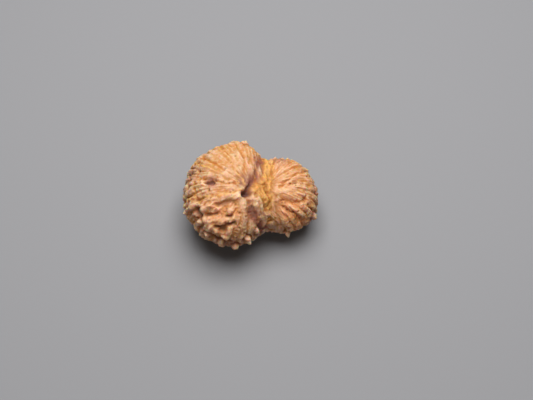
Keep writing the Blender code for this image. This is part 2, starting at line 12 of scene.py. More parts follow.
import bpy
import numpy as np
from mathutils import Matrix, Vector


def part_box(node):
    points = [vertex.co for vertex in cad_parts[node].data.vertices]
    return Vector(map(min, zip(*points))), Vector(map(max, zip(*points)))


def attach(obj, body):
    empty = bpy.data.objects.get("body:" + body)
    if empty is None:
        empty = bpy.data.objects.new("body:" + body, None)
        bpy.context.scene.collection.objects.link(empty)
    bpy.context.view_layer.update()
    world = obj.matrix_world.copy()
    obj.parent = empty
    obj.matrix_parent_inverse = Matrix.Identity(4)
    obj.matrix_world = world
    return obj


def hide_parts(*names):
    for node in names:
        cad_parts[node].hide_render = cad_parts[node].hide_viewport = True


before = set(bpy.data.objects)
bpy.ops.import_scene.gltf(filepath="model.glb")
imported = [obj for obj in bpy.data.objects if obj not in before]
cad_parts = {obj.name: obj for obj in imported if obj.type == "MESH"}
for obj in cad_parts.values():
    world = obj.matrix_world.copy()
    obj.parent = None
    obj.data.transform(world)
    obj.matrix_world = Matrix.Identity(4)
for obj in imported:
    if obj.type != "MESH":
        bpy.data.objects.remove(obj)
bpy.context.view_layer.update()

LOG = logging.getLogger("seed")
MM = 0.001
NODE = "rudraksha_seed"

# noise: cells across the lattice before it repeats, what brings it to about one, and the grains' form
NOISE_CELLS = 32
NOISE_STRENGTH = 1.5
GRAIN_HEIGHT = 2.2
GRAIN_POWER = 0.8
GRAIN_LEVEL = 0.8

# how far packets reach in their own lengths, and the spacing of a mark's points in millimetres
PACKET_SPAN = 2.6
MARK_STEP = 0.25

# how far marks reach in half widths: grooves and swells, ridges and pegs, and holes, pores and feet
GROOVE_REACH = 2.5
RIDGE_REACH = 2.4
HOLE_REACH = 2.0

# distances at which the skin is looked for, up or down in plan and out from a lobe's middle
SEARCH_UP = np.linspace(0.0, 12.0, 1201)
SEARCH_OUT = np.linspace(4.0, 16.0, 1201)

Points = np.ndarray
Values = np.ndarray
Pairs = np.ndarray
Number = Union[float, int]
Colour = tuple[float, float, float]


class Mark(Enum):
    """The maps of the skin that the finish reads, by the names of the mesh's attributes."""

    HOLLOW = "hollow"
    CORE = "core"
    FURROW = "furrow"
    SEAM = "seam"
    FIBRE = "fibre"
    # pits, the hole and pores, which the finish paints dark as painted shade
    PIT = "pit"
    GROOVE = "groove"
    PLUM = "plum"
    ORANGE = "orange"
    PALE = "pale"
    STREAK = "streak"
    # the gaps round the pegs, which the finish paints dark as painted shade
    PEG_GAP_SHADE = "peg"


class Key(Enum):
    """How the node bench joins two values with a Math node."""

    ADD = "ADD"
    SUBTRACT = "SUBTRACT"
    MULTIPLY = "MULTIPLY"


def unit(vectors: Points) -> Points:
    """The vectors at length one."""
    return vectors / np.maximum(np.linalg.norm(vectors, axis=-1, keepdims=True), 1e-9)


def mean_beside(values: Values, pairs: Pairs) -> Values:
    """Mean of the values at the points that are paired with each point.

    Args:
        values: one value for each point.
        pairs: pairs of point numbers that lie beside each other.

    Returns:
        One mean for each point.
    """
    count = len(values)
    first, second = pairs[:, 0], pairs[:, 1]
    total = np.bincount(first, values[second], count) + np.bincount(second, values[first], count)
    return total / (np.bincount(first, minlength=count) + np.bincount(second, minlength=count))


def smooth_noise(points: Points, pitch: float, seed: int) -> Values:
    """Smooth random height, about from -1 to 1, from random slopes on a lattice.

    Args:
        points: places in millimetres.
        pitch: size of a lattice cell in millimetres.
        seed: number that the slopes are drawn from.

    Returns:
        One height for each point.
    """
    slopes = unit(np.random.default_rng(seed).normal(size=(NOISE_CELLS,) * 3 + (3,)))
    place = points / pitch
    cell = np.floor(place).astype(int)
    within = place - cell
    fade = within**3 * (within * (6.0 * within - 15.0) + 10.0)
    total = np.zeros(len(points))
    for corner in np.ndindex(2, 2, 2):
        slope = slopes[tuple(((cell + corner) % NOISE_CELLS).T)]
        weight = np.where(np.array(corner) == 1, fade, 1.0 - fade).prod(axis=1)
        total += weight * (slope * (within - corner)).sum(axis=1)
    return NOISE_STRENGTH * total


@dataclass(frozen=True)
class Noise:
    """Smooth random unevenness: its pitch, how much it adds, and the seed that it is drawn from."""

    pitch: float
    amount: float
    seed: int

    def plain(self, points: Points) -> Values:
        """The noise at each point."""
        return self.amount * smooth_noise(points, self.pitch, self.seed)

    def uneven(self, points: Points) -> Values:
        """The noise at each point, with half as much again at half the pitch."""
        coarse = smooth_noise(points, self.pitch, self.seed)
        return self.amount * (coarse + 0.5 * smooth_noise(points, self.pitch / 2.0, self.seed + 1))

    def bend(self, points: Points) -> Points:
        """The points moved about by the noise, so that what is laid over them wanders."""
        shifts = [smooth_noise(points, self.pitch, self.seed + axis) for axis in range(3)]
        return points + self.amount * np.column_stack(shifts)

    def grains(self, points: Points) -> Values:
        """Height of round grains with narrow creases between them, about from -1 to 1."""
        crest = np.abs(smooth_noise(points, self.pitch, self.seed)) ** GRAIN_POWER
        return GRAIN_HEIGHT * crest - GRAIN_LEVEL


@dataclass(frozen=True)
class Growth:
    """A value that changes evenly with the distance from the nearest pole, from a start to an end."""

    near: float
    far: float
    start: float
    end: float

    def at(self, distance: Values) -> Values:
        """The value at each distance."""
        share = np.clip((distance - self.start) / (self.end - self.start), 0.0, 1.0)
        return self.near + (self.far - self.near) * share


@dataclass(frozen=True)
class Lobe:
    """An ellipsoid of the body, turned about +Z by some degrees."""

    centre: tuple[float, float, float]
    radii: tuple[float, float, float]
    turn: float = 0.0

    def distance(self, points: Points) -> Values:
        """Distance of each point from the lobe's surface, below zero inside it.

        Args:
            points: places in millimetres.

        Returns:
            One distance in millimetres for each point.
        """
        turn = math.radians(self.turn)
        along = np.array((math.cos(turn), math.sin(turn), 0.0))
        across = np.array((-math.sin(turn), math.cos(turn), 0.0))
        offset = points - np.array(self.centre)
        offset = np.column_stack((offset @ along, offset @ across, offset[:, 2]))
        radii = np.array(self.radii)
        near = np.linalg.norm(offset / radii, axis=1)
        slope = np.linalg.norm(offset / radii**2, axis=1)
        return near * (near - 1.0) / np.maximum(slope, 1e-9)


@dataclass(frozen=True)
class Stroke:
    """A ridge, groove or hole along points of the skin, each a plan point of its top or a place in space."""

    plan: tuple[tuple[float, ...], ...]
    half_width: float
    height: float


@dataclass(frozen=True)
class Peg:
    """A knob on the side of a lobe, at a bearing and a rise in degrees from the lobe's middle."""

    bearing: float
    rise: float
    height: float


@dataclass(frozen=True)
class Patch:
    """A round patch of the skin, about a plan point of its upper side."""

    plan: tuple[float, float]
    radius: float


@dataclass(frozen=True)
class Region:
    """A patch, and the shares by which it changes each kind of relief."""

    patch: Patch
    height: float = 0.0
    depth: float = 0.0
    pitch: float = 0.0
    knobs: float = 0.0
    folds: float = 0.0
    wrinkles: float = 0.0
    lumps: float = 0.0
    fibres: float = 0.0
    grit: float = 0.0


@dataclass(frozen=True)
class Stain:
    """A round patch of a colour, which is written to one of the skin's maps."""

    mark: Mark
    patch: Patch
    share: float


@dataclass(frozen=True)
class Packets:
    """Short wave packets laid over the skin, whose crests add up to the ribs."""

    at: Points
    way: Points
    length: Values
    reach: Values
    phase: Values

    def sum_phase(self, points: Points) -> Values:
        """Phase of the packets' summed waves at each point.

        Args:
            points: places in millimetres.

        Returns:
            One phase in radians for each point.
        """
        order = np.argsort(points[:, 0], kind="stable")
        ranked = points[order]
        total = np.zeros(len(points), complex)
        for at, way, length, reach, phase in zip(self.at, self.way, self.length, self.reach, self.phase):
            span = PACKET_SPAN * reach
            first, last = np.searchsorted(ranked[:, 0], (at[0] - span, at[0] + span))
            near = np.where((np.abs(ranked[first:last] - at) < span).all(axis=1))[0] + first
            offset = ranked[near] - at
            strength = np.exp(-(offset**2).sum(axis=1) / (2.0 * reach**2))
            total[near] += strength * np.exp(1j * (phase + 2.0 * math.pi * (offset @ way) / length))
        phases = np.empty(len(points))
        phases[order] = np.angle(total)
        return phases


@dataclass(frozen=True)
class SeedBody:
    """The seed at the bottom of its grooves: two lobes that meet in a soft waist."""

    large: Lobe = Lobe(centre=(-3.2, 0.0, 0.0), radii=(10.1, 11.8, 8.6), turn=-5.0)
    small: Lobe = Lobe(centre=(8.6, 0.35, -1.6), radii=(6.8, 8.2, 7.0), turn=12.0)
    waist_blend: float = 3.3
    hull_centre: tuple[float, float, float] = (1.2, 0.0, -0.2)
    hull_radii: tuple[float, float, float] = (14.9, 11.8, 8.7)

    def distance(self, points: Points) -> Values:
        """Distance from the body's surface, below zero inside it.

        Args:
            points: places in millimetres.

        Returns:
            One distance in millimetres for each point.
        """
        large = self.large.distance(points)
        small = self.small.distance(points)
        share = np.clip(0.5 + 0.5 * (small - large) / self.waist_blend, 0.0, 1.0)
        return small * (1.0 - share) + large * share - self.waist_blend * share * (1.0 - share)

    def gradient(self, points: Points, step: float = 0.01) -> Points:
        """Direction in which the distance from the body grows.

        Args:
            points: places in millimetres.
            step: how far to each side the distance is compared, in millimetres.

        Returns:
            One direction for each point.
        """
        gradient = np.empty_like(points)
        for axis in range(3):
            offset = np.zeros(3)
            offset[axis] = step
            gradient[:, axis] = self.distance(points + offset) - self.distance(points - offset)
        return gradient / (2.0 * step)

    def draw_on(self, points: Points, rounds: int = 12) -> Points:
        """The points moved onto the body's surface.

        Args:
            points: places in millimetres.
            rounds: how often each point is moved nearer.

        Returns:
            The moved points.
        """
        points = points.copy()
        for _ in range(rounds):
            gradient = self.gradient(points)
            steepness = np.maximum((gradient * gradient).sum(axis=1), 1e-6)
            points -= (self.distance(points) / steepness)[:, None] * gradient
        return points

    def from_ball(self, ball: Points) -> Points:
        """Points of a ball of radius one, drawn onto the body."""
        return self.draw_on(ball * np.array(self.hull_radii) + np.array(self.hull_centre))

    def spread(self, points: Points, pairs: Pairs, rounds: int = 25, pace: float = 0.6) -> Points:
        """Points on the body moved towards the middle of their neighbours, to even out the mesh.

        Args:
            points: the mesh's points, on the body.
            pairs: pairs of point numbers that lie beside each other.
            rounds: how often every point is moved.
            pace: share of the way that it is moved each time.

        Returns:
            The moved points, on the body.
        """
        for _ in range(rounds):
            middle = np.column_stack([mean_beside(along_axis, pairs) for along_axis in points.T])
            points = self.draw_on(points + pace * (middle - points), rounds=2)
        return points

    def first_outside(self, line: Points) -> Points:
        """The first point of a line that lies outside the body."""
        return line[np.where(self.distance(line) > 0.0)[0][0]]

    def skin_point(self, plan: tuple[float, ...], under: bool = False) -> Points:
        """The point of the skin above or below a plan position, or nearest to a place in space.

        Args:
            plan: a plan position, or a place in space where it has three numbers.
            under: whether the point lies on the underside.

        Returns:
            The point.
        """
        if len(plan) == 3:
            return self.draw_on(np.array([plan]))[0]
        heights = SEARCH_UP * (-1.0 if under else 1.0)
        line = np.column_stack((np.full_like(heights, plan[0]), np.full_like(heights, plan[1]), heights))
        return self.first_outside(line)

    def side_point(self, lobe: Lobe, bearing: float, rise: float) -> Points:
        """The point of the skin at a bearing and a rise in degrees from a lobe's middle.

        Args:
            lobe: the lobe from whose middle they are counted.
            bearing: degrees about +Z from +X.
            rise: degrees above the level.

        Returns:
            The point.
        """
        bearing, rise = math.radians(bearing), math.radians(rise)
        level = math.cos(rise)
        way = np.array((math.cos(bearing) * level, math.sin(bearing) * level, math.sin(rise)))
        return self.first_outside(np.array(lobe.centre) + SEARCH_OUT[:, None] * way)

    def even_points(self, count: int) -> Points:
        """Points spread evenly over the body along a spiral.

        Args:
            count: how many points.

        Returns:
            The points.
        """
        index = np.arange(count) + 0.5
        height = 1.0 - 2.0 * index / count
        radius = np.sqrt(1.0 - height * height)
        angle = math.pi * (1.0 + math.sqrt(5.0)) * index
        return self.from_ball(np.column_stack((radius * np.cos(angle), radius * np.sin(angle), height)))

    def patch_share(self, points: Points, patch: Patch) -> Values:
        """One in the middle of a patch, falling to nothing outside it."""
        distance = np.linalg.norm(points - self.skin_point(patch.plan), axis=1)
        return np.exp(-((distance / patch.radius) ** 2))

    def skin_line(self, stroke: Stroke) -> Points:
        """Points along a stroke, lifted onto the skin.

        Args:
            stroke: the stroke, whose corners are joined by straight stretches.

        Returns:
            The points, about a mark's step apart.
        """
        corners = [self.skin_point(plan) for plan in stroke.plan]
        line = [corners[0]]
        for start, end in zip(corners, corners[1:]):
            pieces = max(1, int(np.linalg.norm(end - start) / MARK_STEP))
            line += [start + (end - start) * (k + 1) / pieces for k in range(pieces)]
        return self.draw_on(np.array(line))


@dataclass(frozen=True)
class Ribs:
    """The ribs, which run over the skin from two poles on top to two below, and break into knobs."""

    body: SeedBody
    calm: Region = Region(
        Patch((-4.4, 4.9), 5.7), height=-0.50, depth=-0.76, pitch=-0.22, folds=-0.70, wrinkles=-0.80,
        lumps=0.90,
    )
    bold: Region = Region(Patch((-5.6, -8.0), 5.2), height=0.08, depth=-0.48, grit=1.018)
    fan: Region = Region(
        Patch((9.8, -0.8), 7.5), height=-0.34, depth=-0.34, pitch=0.06, knobs=-0.50, wrinkles=-0.10,
        fibres=0.80, grit=-0.20,
    )
    poles_above: tuple = ((0.3, -3.1), (4.9, -0.8))
    poles_below: tuple = ((-1.5, 1.5), (7.5, -0.3))
    pulls: tuple[float, float] = (1.0, 0.62)
    fade: float = 2.6
    clearance: float = 0.3
    under_haste: float = 1.5
    pitch: Growth = Growth(near=1.15, far=1.70, start=1.0, end=7.5)
    knob_pitch: Growth = Growth(near=4.6, far=1.9, start=3.0, end=10.0)
    height: Growth = Growth(near=0.30, far=1.00, start=0.8, end=8.8)
    groove_depth: Growth = Growth(near=0.2516, far=0.4352, start=4.5, end=10.5)
    gap_depth: Growth = Growth(near=0.15, far=0.90, start=4.5, end=10.5)
    least_cut: float = 0.05
    most_cut: float = 0.95
    flatness: float = 2.1
    knob_roundness: float = 0.5
    knob_slant: float = 0.5
    groove_width: float = 0.30
    groove_shown_at: float = 0.64
    height_noise: Noise = Noise(2.9, 0.30, 50)
    depth_noise: Noise = Noise(2.3, 0.5625, 90)
    depth_folds: Noise = Noise(1.25, 0.705882, 105)
    calm_cracks: Noise = Noise(2.6, 1.0, 140)
    rib_count: int = 1100
    knob_count: int = 900
    rib_reach: float = 0.85
    knob_reach: float = 0.55
    rib_unrest: float = 0.16
    knob_unrest: tuple[float, float] = (0.85, 1.20)
    settling_rounds: int = 3
    trail_step: float = 0.28
    trail_steps: int = 5
    most_drawn: float = 1.3
    random_seed: int = 12

    def poles(self) -> list[tuple[Points, float]]:
        """Each pole's place on the skin and its pull, above zero on top and below zero underneath.

        Returns:
            A place and a pull for each pole.
        """
        poles = []
        for above, below, pull in zip(self.poles_above, self.poles_below, self.pulls):
            poles.append((self.body.skin_point(above), pull))
            poles.append((self.body.skin_point(below, under=True), -pull))
        return poles

    def way(self, points: Points, normals: Points) -> Points:
        """Direction of the ribs at each point of the skin.

        Args:
            points: places in millimetres.
            normals: direction outwards at each point.

        Returns:
            One direction of length one for each point.
        """
        way = np.zeros_like(points)
        for place, pull in self.poles():
            offset = points - place
            distance = np.maximum(np.linalg.norm(offset, axis=1, keepdims=True), self.clearance)
            way += pull * offset / distance**self.fade
        way -= (way * normals).sum(axis=1, keepdims=True) * normals
        return unit(way)

    def pole_distance(self, points: Points) -> Values:
        """Distance from each point to the nearest pole, stretched for the poles underneath.

        Args:
            points: places in millimetres.

        Returns:
            One distance for each point.
        """
        distances = []
        for place, pull in self.poles():
            haste = 1.0 if pull > 0.0 else self.under_haste
            distances.append(haste * np.linalg.norm(points - place, axis=1))
        return np.min(distances, axis=0)

    def regional(self, points: Points, kind: str) -> Values:
        """One, changed near each region by its share for a kind of relief.

        Args:
            points: places on the skin.
            kind: name of one of a region's shares.

        Returns:
            A factor for each point.
        """
        factor = np.ones(len(points))
        for region in (self.calm, self.bold, self.fan):
            factor += getattr(region, kind) * self.body.patch_share(points, region.patch)
        return factor

    def rib_packets(self) -> Packets:
        """Packets that wave across the ribs, with each phase settled to its neighbours'.

        Returns:
            The packets, spread evenly over the skin.
        """
        rng = np.random.default_rng(self.random_seed + 1)
        at = self.body.even_points(self.rib_count)
        normals = unit(self.body.gradient(at))
        way = self.way(at, normals)
        turn = rng.normal(0.0, self.rib_unrest, self.rib_count)[:, None]
        way = unit(way * np.cos(turn) + np.cross(normals, way) * np.sin(turn))
        across = np.cross(normals, way)
        length = self.pitch.at(self.pole_distance(at)) * self.regional(at, "pitch")
        reach = self.rib_reach * length
        phase = rng.uniform(0.0, 2.0 * math.pi, self.rib_count)
        offset = at[None, :, :] - at[:, None, :]
        weight = np.exp(-(offset**2).sum(axis=2) / (2.0 * reach[:, None] ** 2)) * (normals @ normals.T > 0.0)
        np.fill_diagonal(weight, 0.0)
        shift = 2.0 * math.pi * np.einsum("ijk,ik->ij", offset, across) / length[:, None]
        for _ in range(self.settling_rounds):
            for k in range(self.rib_count):
                phase[k] = np.angle((weight[:, k] * np.exp(1j * (phase + shift[:, k]))).sum())
        return Packets(at, across, length, reach, phase)

    def knob_packets(self) -> Packets:
        """Packets that wave along the ribs, which break them into knobs away from the poles.

        Returns:
            The packets, spread evenly over the skin.
        """
        rng = np.random.default_rng(self.random_seed + 2)
        at = self.body.even_points(self.knob_count)
        way = self.way(at, unit(self.body.gradient(at)))
        length = self.knob_pitch.at(self.pole_distance(at)) * rng.uniform(*self.knob_unrest, self.knob_count)
        length *= self.regional(at, "knobs")
        phase = rng.uniform(0.0, 2.0 * math.pi, self.knob_count)
        return Packets(at, way, length, self.knob_reach * length, phase)

    def trail(self, points: Points) -> list[Points]:
        """Places along the rib through each point, from some steps behind it to as many ahead.

        Args:
            points: places in millimetres.

        Returns:
            The points themselves, and then the places at each step.
        """
        places = [points]
        for step in (-self.trail_step, self.trail_step):
            place = points
            for _ in range(self.trail_steps):
                way = self.way(place, unit(self.body.gradient(place)))
                place = self.body.draw_on(place + step * way, rounds=1)
                places.append(place)
        return places

    def drawn_out(self, trail: list[Points], noise: Noise) -> Values:
        """Noise that is drawn out along the ribs, by adding it up along each point's trail.

        Args:
            trail: places along the rib through each point.
            noise: the noise, whose pitch is its size across the ribs.

        Returns:
            One value for each point, about from -1 to 1 times the noise's amount.
        """
        total = sum(smooth_noise(place, noise.pitch, noise.seed) for place in trail)
        return noise.amount * np.clip(total / (2.0 * total.std()), -self.most_drawn, self.most_drawn)

    def raise_from(
        self, points: Points, wandering: Points, trail: list[Points]
    ) -> tuple[Values, Values, Values]:
        """Height of the ribs, the share of a knob, and the share of a rib's groove at each point.

        Args:
            points: places in millimetres.
            wandering: the same places moved about, so that the ribs wander.
            trail: places along the rib through each point.

        Returns:
            The height in millimetres, and the two shares from 0 to 1.
        """
        across = self.rib_packets().sum_phase(wandering)
        along = self.knob_packets().sum_phase(wandering)
        rib = 1.0 - (np.abs(across) / math.pi) ** self.flatness
        knob = np.abs(np.cos((along + self.knob_slant * across) / 2.0)) ** self.knob_roundness
        distance = self.pole_distance(points)
        height = self.height.at(distance) * self.regional(points, "height")
        height *= 1.0 + self.height_noise.uneven(points)
        depth = self.groove_depth.at(distance) * self.regional(points, "depth")
        depth *= 1.0 + self.depth_noise.uneven(points)
        depth *= 1.0 + self.drawn_out(trail, self.depth_folds)
        gap = self.gap_depth.at(distance)
        cut = np.clip(depth, self.least_cut, self.most_cut) * (1.0 - rib * (1.0 - gap + gap * knob))
        groove = np.exp(-(((np.abs(across) - math.pi) / self.groove_width) ** 2))
        cracked = self.body.patch_share(points, self.calm.patch) * self.calm_cracks.uneven(points)
        shown = np.clip(depth / self.groove_shown_at + cracked, 0.0, 1.0)
        return height * (1.0 - cut), knob, groove * shown


@dataclass(frozen=True)
class Landmarks:
    """The seams, ridges, lumps, pits, pegs and feet that tell this seed from another."""

    furrow: tuple[Stroke, ...] = (
        Stroke(((3.9, 7.8), (3.5, 6.6), (3.0, 3.6), (2.6, 1.2), (1.6, -1.5)), 1.35, -0.62),
        Stroke(((0.7, -5.6), (1.1, -7.2), (1.8, -8.4), (2.6, -9.0), (3.6, -9.2)), 0.85, -0.75),
        Stroke(((4.6, 8.2, 1.5), (4.6, 8.8, -2.5), (4.4, 7.0, -6.0), (4.2, 3.5, -8.5)), 1.1, -0.65),
        Stroke(((4.2, 3.5, -8.5), (4.2, 0.0, -8.6), (4.2, -4.0, -8.0), (4.2, -7.6, -5.5)), 1.1, -0.65),
    )
    hole: Stroke = Stroke(((-0.2, -4.4), (0.3, -3.9)), 0.76, -1.9)
    swells: tuple[Stroke, ...] = (
        Stroke(((3.2, 9.8, 0.5), (3.6, 8.8, 3.0)), 2.2, -0.60),
        Stroke(((1.2, 10.1, 2.8), (3.0, 8.8, 2.5)), 1.7, -0.60),
        Stroke(((-8.0, 9.6, 2.7), (-5.0, 10.8, 3.0)), 2.3, -0.75),
        Stroke(((-2.6, 11.1, 3.1), (-0.6, 10.8, 3.0)), 1.4, 0.35),
        Stroke(((-13.2, -3.5, -1.0), (-11.8, -6.2, -1.9)), 2.2, 0.30),
        Stroke(((6.6, 7.6, 1.3), (9.6, 7.9, 1.3)), 1.8, -0.30),
        Stroke(((12.6, 6.4, 0.6), (14.2, 4.2, 0.0)), 1.8, -0.40),
        Stroke(((14.6, -2.9, -2.6), (13.0, -5.4, -3.4)), 1.6, 0.35),
        Stroke(((9.9, -6.9, -4.4), (12.4, -5.9, -4.0)), 1.9, -0.45),
    )
    seams: tuple[Stroke, ...] = (
        Stroke(((-13.0, -2.6), (-10.2, -4.0), (-5.6, -4.8), (-1.5, -3.7)), 0.50, -0.28),
        Stroke(((-6.2, 8.8), (-5.2, 6.6), (-3.6, 3.9), (-2.0, 0.5), (-0.4, -2.2)), 0.50, -0.22),
        Stroke(((-11.2, 6.0), (-8.9, 2.8), (-6.6, 1.1), (-4.9, -0.1), (-1.4, -2.2)), 0.45, -0.22),
        Stroke(((6.0, 5.4), (5.9, 3.6), (5.9, 2.0)), 0.40, -0.20),
    )
    cracks: tuple[Stroke, ...] = (
        Stroke(((7.4, -1.2), (9.2, 0.2), (11.4, 2.2), (13.3, 4.0)), 0.30, -0.42),
        Stroke(((9.4, -0.9), (11.0, -0.2)), 0.34, -0.40),
        Stroke(((8.5, -4.4), (10.3, -4.6), (13.0, -3.3)), 0.42, -0.42),
        Stroke(((7.0, -4.3), (8.6, -5.3), (11.0, -6.4), (12.9, -6.6)), 0.36, -0.32),
        Stroke(((-9.0, -0.2), (-6.0, -1.6), (-2.2, -2.4)), 0.30, -0.25),
        Stroke(((-8.6, 4.6), (-6.4, 2.6), (-4.8, 1.2)), 0.28, -0.25),
        Stroke(((-1.2, 6.8), (-0.6, 3.6), (-0.2, 0.6)), 0.28, -0.12),
    )
    ridges: tuple[Stroke, ...] = (
        Stroke(((-8.1, -5.7), (-6.1, -5.4), (-3.8, -4.9), (-1.5, -4.7)), 1.00, 0.50),
        Stroke(((-1.5, -4.7), (-0.6, -6.2), (-0.2, -7.8)), 1.00, 0.40),
        Stroke(((-8.6, -6.6), (-7.2, -7.1), (-6.0, -7.0)), 0.85, 0.45),
        Stroke(((-13.0, -5.8), (-12.7, -4.9), (-11.5, -4.9), (-10.0, -5.6), (-9.2, -6.6)), 0.75, 0.50),
        Stroke(((-8.8, -8.0), (-7.6, -8.8)), 0.75, 0.50),
        Stroke(((-4.2, -7.6), (-3.0, -7.7)), 0.55, 0.40),
        Stroke(((-7.7, -9.6), (-6.1, -9.3), (-4.3, -9.1), (-2.7, -9.1)), 0.90, 0.55),
        Stroke(((-7.9, -10.2), (-7.4, -10.6, 3.7), (-6.0, -11.5, 3.1), (-4.3, -12.1, 2.3)), 0.70, 0.62),
        Stroke(((-4.3, -12.1, 2.3), (-3.7, -11.7, 3.5), (-3.3, -10.9, 4.7)), 0.50, 0.45),
        Stroke(((-8.9, -8.9), (-8.2, -8.6)), 0.80, 0.35),
        Stroke(((7.4, -2.2), (9.4, -2.5), (11.8, -2.8)), 1.00, 0.35),
        Stroke(((7.4, -4.1), (10.8, -5.4), (13.6, -5.4)), 0.60, 0.40),
        Stroke(((6.7, 1.6), (8.8, 2.9), (11.0, 4.6)), 0.80, 0.25),
    )
    core_ridges: tuple[Stroke, ...] = (
        Stroke(((4.4, 5.8), (4.6, 3.4), (4.6, 1.6), (4.4, 0.2)), 0.75, 0.45),
        Stroke(((5.2, -1.0), (5.3, -1.5)), 0.75, 0.40),
        Stroke(((1.5, -3.1), (1.8, -3.1)), 0.55, 0.50),
        Stroke(((2.7, -2.0), (3.3, -2.9)), 0.55, 0.35),
        Stroke(((3.9, -3.9), (4.2, -4.6)), 0.80, 0.62),
        Stroke(((1.0, -5.2), (1.4, -6.5)), 0.42, 0.36),
        Stroke(((2.0, -5.0), (2.3, -6.3)), 0.36, 0.30),
        Stroke(((3.0, 3.0), (2.9, 0.9)), 0.38, 0.42),
        Stroke(((2.5, -4.5), (3.1, -5.8), (3.6, -6.8)), 0.38, 0.36),
        Stroke(((5.7, -4.2), (6.0, -5.0), (6.3, -5.8)), 0.45, 0.35),
    )
    pits: tuple[Stroke, ...] = (
        Stroke(((-8.3, -1.5), (-7.3, -1.9)), 0.50, -0.15),
        Stroke(((-6.6, -1.3),), 0.36, 0.10),
        Stroke(((-7.7, -3.3),), 0.28, 0.30),
        Stroke(((-10.0, -6.6), (-9.7, -7.4)), 0.72, -0.15),
        Stroke(((-6.0, -6.5), (-4.6, -6.3), (-3.2, -6.0)), 0.50, 0.38),
        Stroke(((-6.0, -10.1), (-4.4, -10.1), (-2.7, -9.8)), 0.40, 0.50),
        Stroke(((-5.3, -11.0, 4.1), (-4.7, -11.1, 4.1)), 0.50, 0.36),
        Stroke(((-7.2, -11.5, 1.6), (-6.3, -11.9, 1.2)), 0.45, 0.10),
        Stroke(((-4.2, -12.4, 0.6), (-3.5, -12.4, 0.6)), 0.40, 0.20),
        Stroke(((-8.2, -7.9), (-6.2, -8.1)), 0.36, 0.42),
        Stroke(((-4.1, -8.6), (-3.3, -8.6)), 0.38, 0.38),
        Stroke(((10.5, -0.3), (11.2, -0.1)), 0.30, 0.30),
        Stroke(((-4.5, 1.4),), 0.35, 0.40),
        Stroke(((-1.5, 2.5),), 0.26, 0.30),
        Stroke(((1.3, -7.0), (1.7, -8.3)), 0.50, -0.25),
        Stroke(((2.3, 2.0), (2.2, 0.8)), 0.45, -0.30),
        Stroke(((0.4, -3.2), (0.9, -2.2)), 0.52, -0.90),
    )
    large_lobe_pegs: tuple[Peg, ...] = (
        Peg(bearing=-127, rise=14, height=0.75),
        Peg(bearing=-116, rise=7, height=1.00),
        Peg(bearing=-100, rise=2, height=1.25),
        Peg(bearing=-87, rise=-5, height=1.40),
        Peg(bearing=-74, rise=3, height=1.15),
        Peg(bearing=-62, rise=7, height=0.70),
        Peg(bearing=76, rise=20, height=0.45),
    )
    small_lobe_pegs: tuple[Peg, ...] = (
        Peg(bearing=-83, rise=-11, height=1.20),
        Peg(bearing=-38, rise=1, height=0.80),
        Peg(bearing=50, rise=14, height=0.50),
    )
    peg_radius: float = 0.62
    peg_reach: float = 2.5
    peg_places: int = 5
    peg_fall: float = 3.4
    peg_steady: float = 0.45
    peg_gap: float = 0.30
    peg_gap_place: float = 1.45
    peg_gap_width: float = 0.40
    ridge_fall: float = 2.6
    hole_fall: float = 3.0
    feet: tuple[tuple[float, float], ...] = ((-5.6, -2.8), (-4.9, 3.1), (7.3, -2.3), (7.9, 2.5))
    foot_radius: float = 1.35
    foot_roundness: float = 0.55
    foot_clearing: float = 0.75
    foot_clearing_width: float = 1.25
    foot_wear: float = 0.35
    resting_level: float = -9.4
    core: tuple[Patch, ...] = (
        Patch((4.4, 5.8), 1.1),
        Patch((4.6, 4.0), 1.2),
        Patch((4.8, 2.3), 1.3),
        Patch((4.7, 0.6), 1.6),
        Patch((4.3, -1.2), 1.9),
        Patch((2.7, -2.6), 1.4),
        Patch((4.4, -3.6), 1.8),
        Patch((4.6, -5.4), 1.2),
        Patch((4.9, -7.2), 0.9),
    )
    core_height: float = 0.20
    core_press: float = 0.75
    core_edge: float = 1.8
    granules: tuple[Patch, ...] = (
        Patch((-1.7, -11.0, 4.2), 2.6),
        Patch((-1.0, -7.0), 1.3),
        Patch((-9.8, -9.2), 1.6),
    )
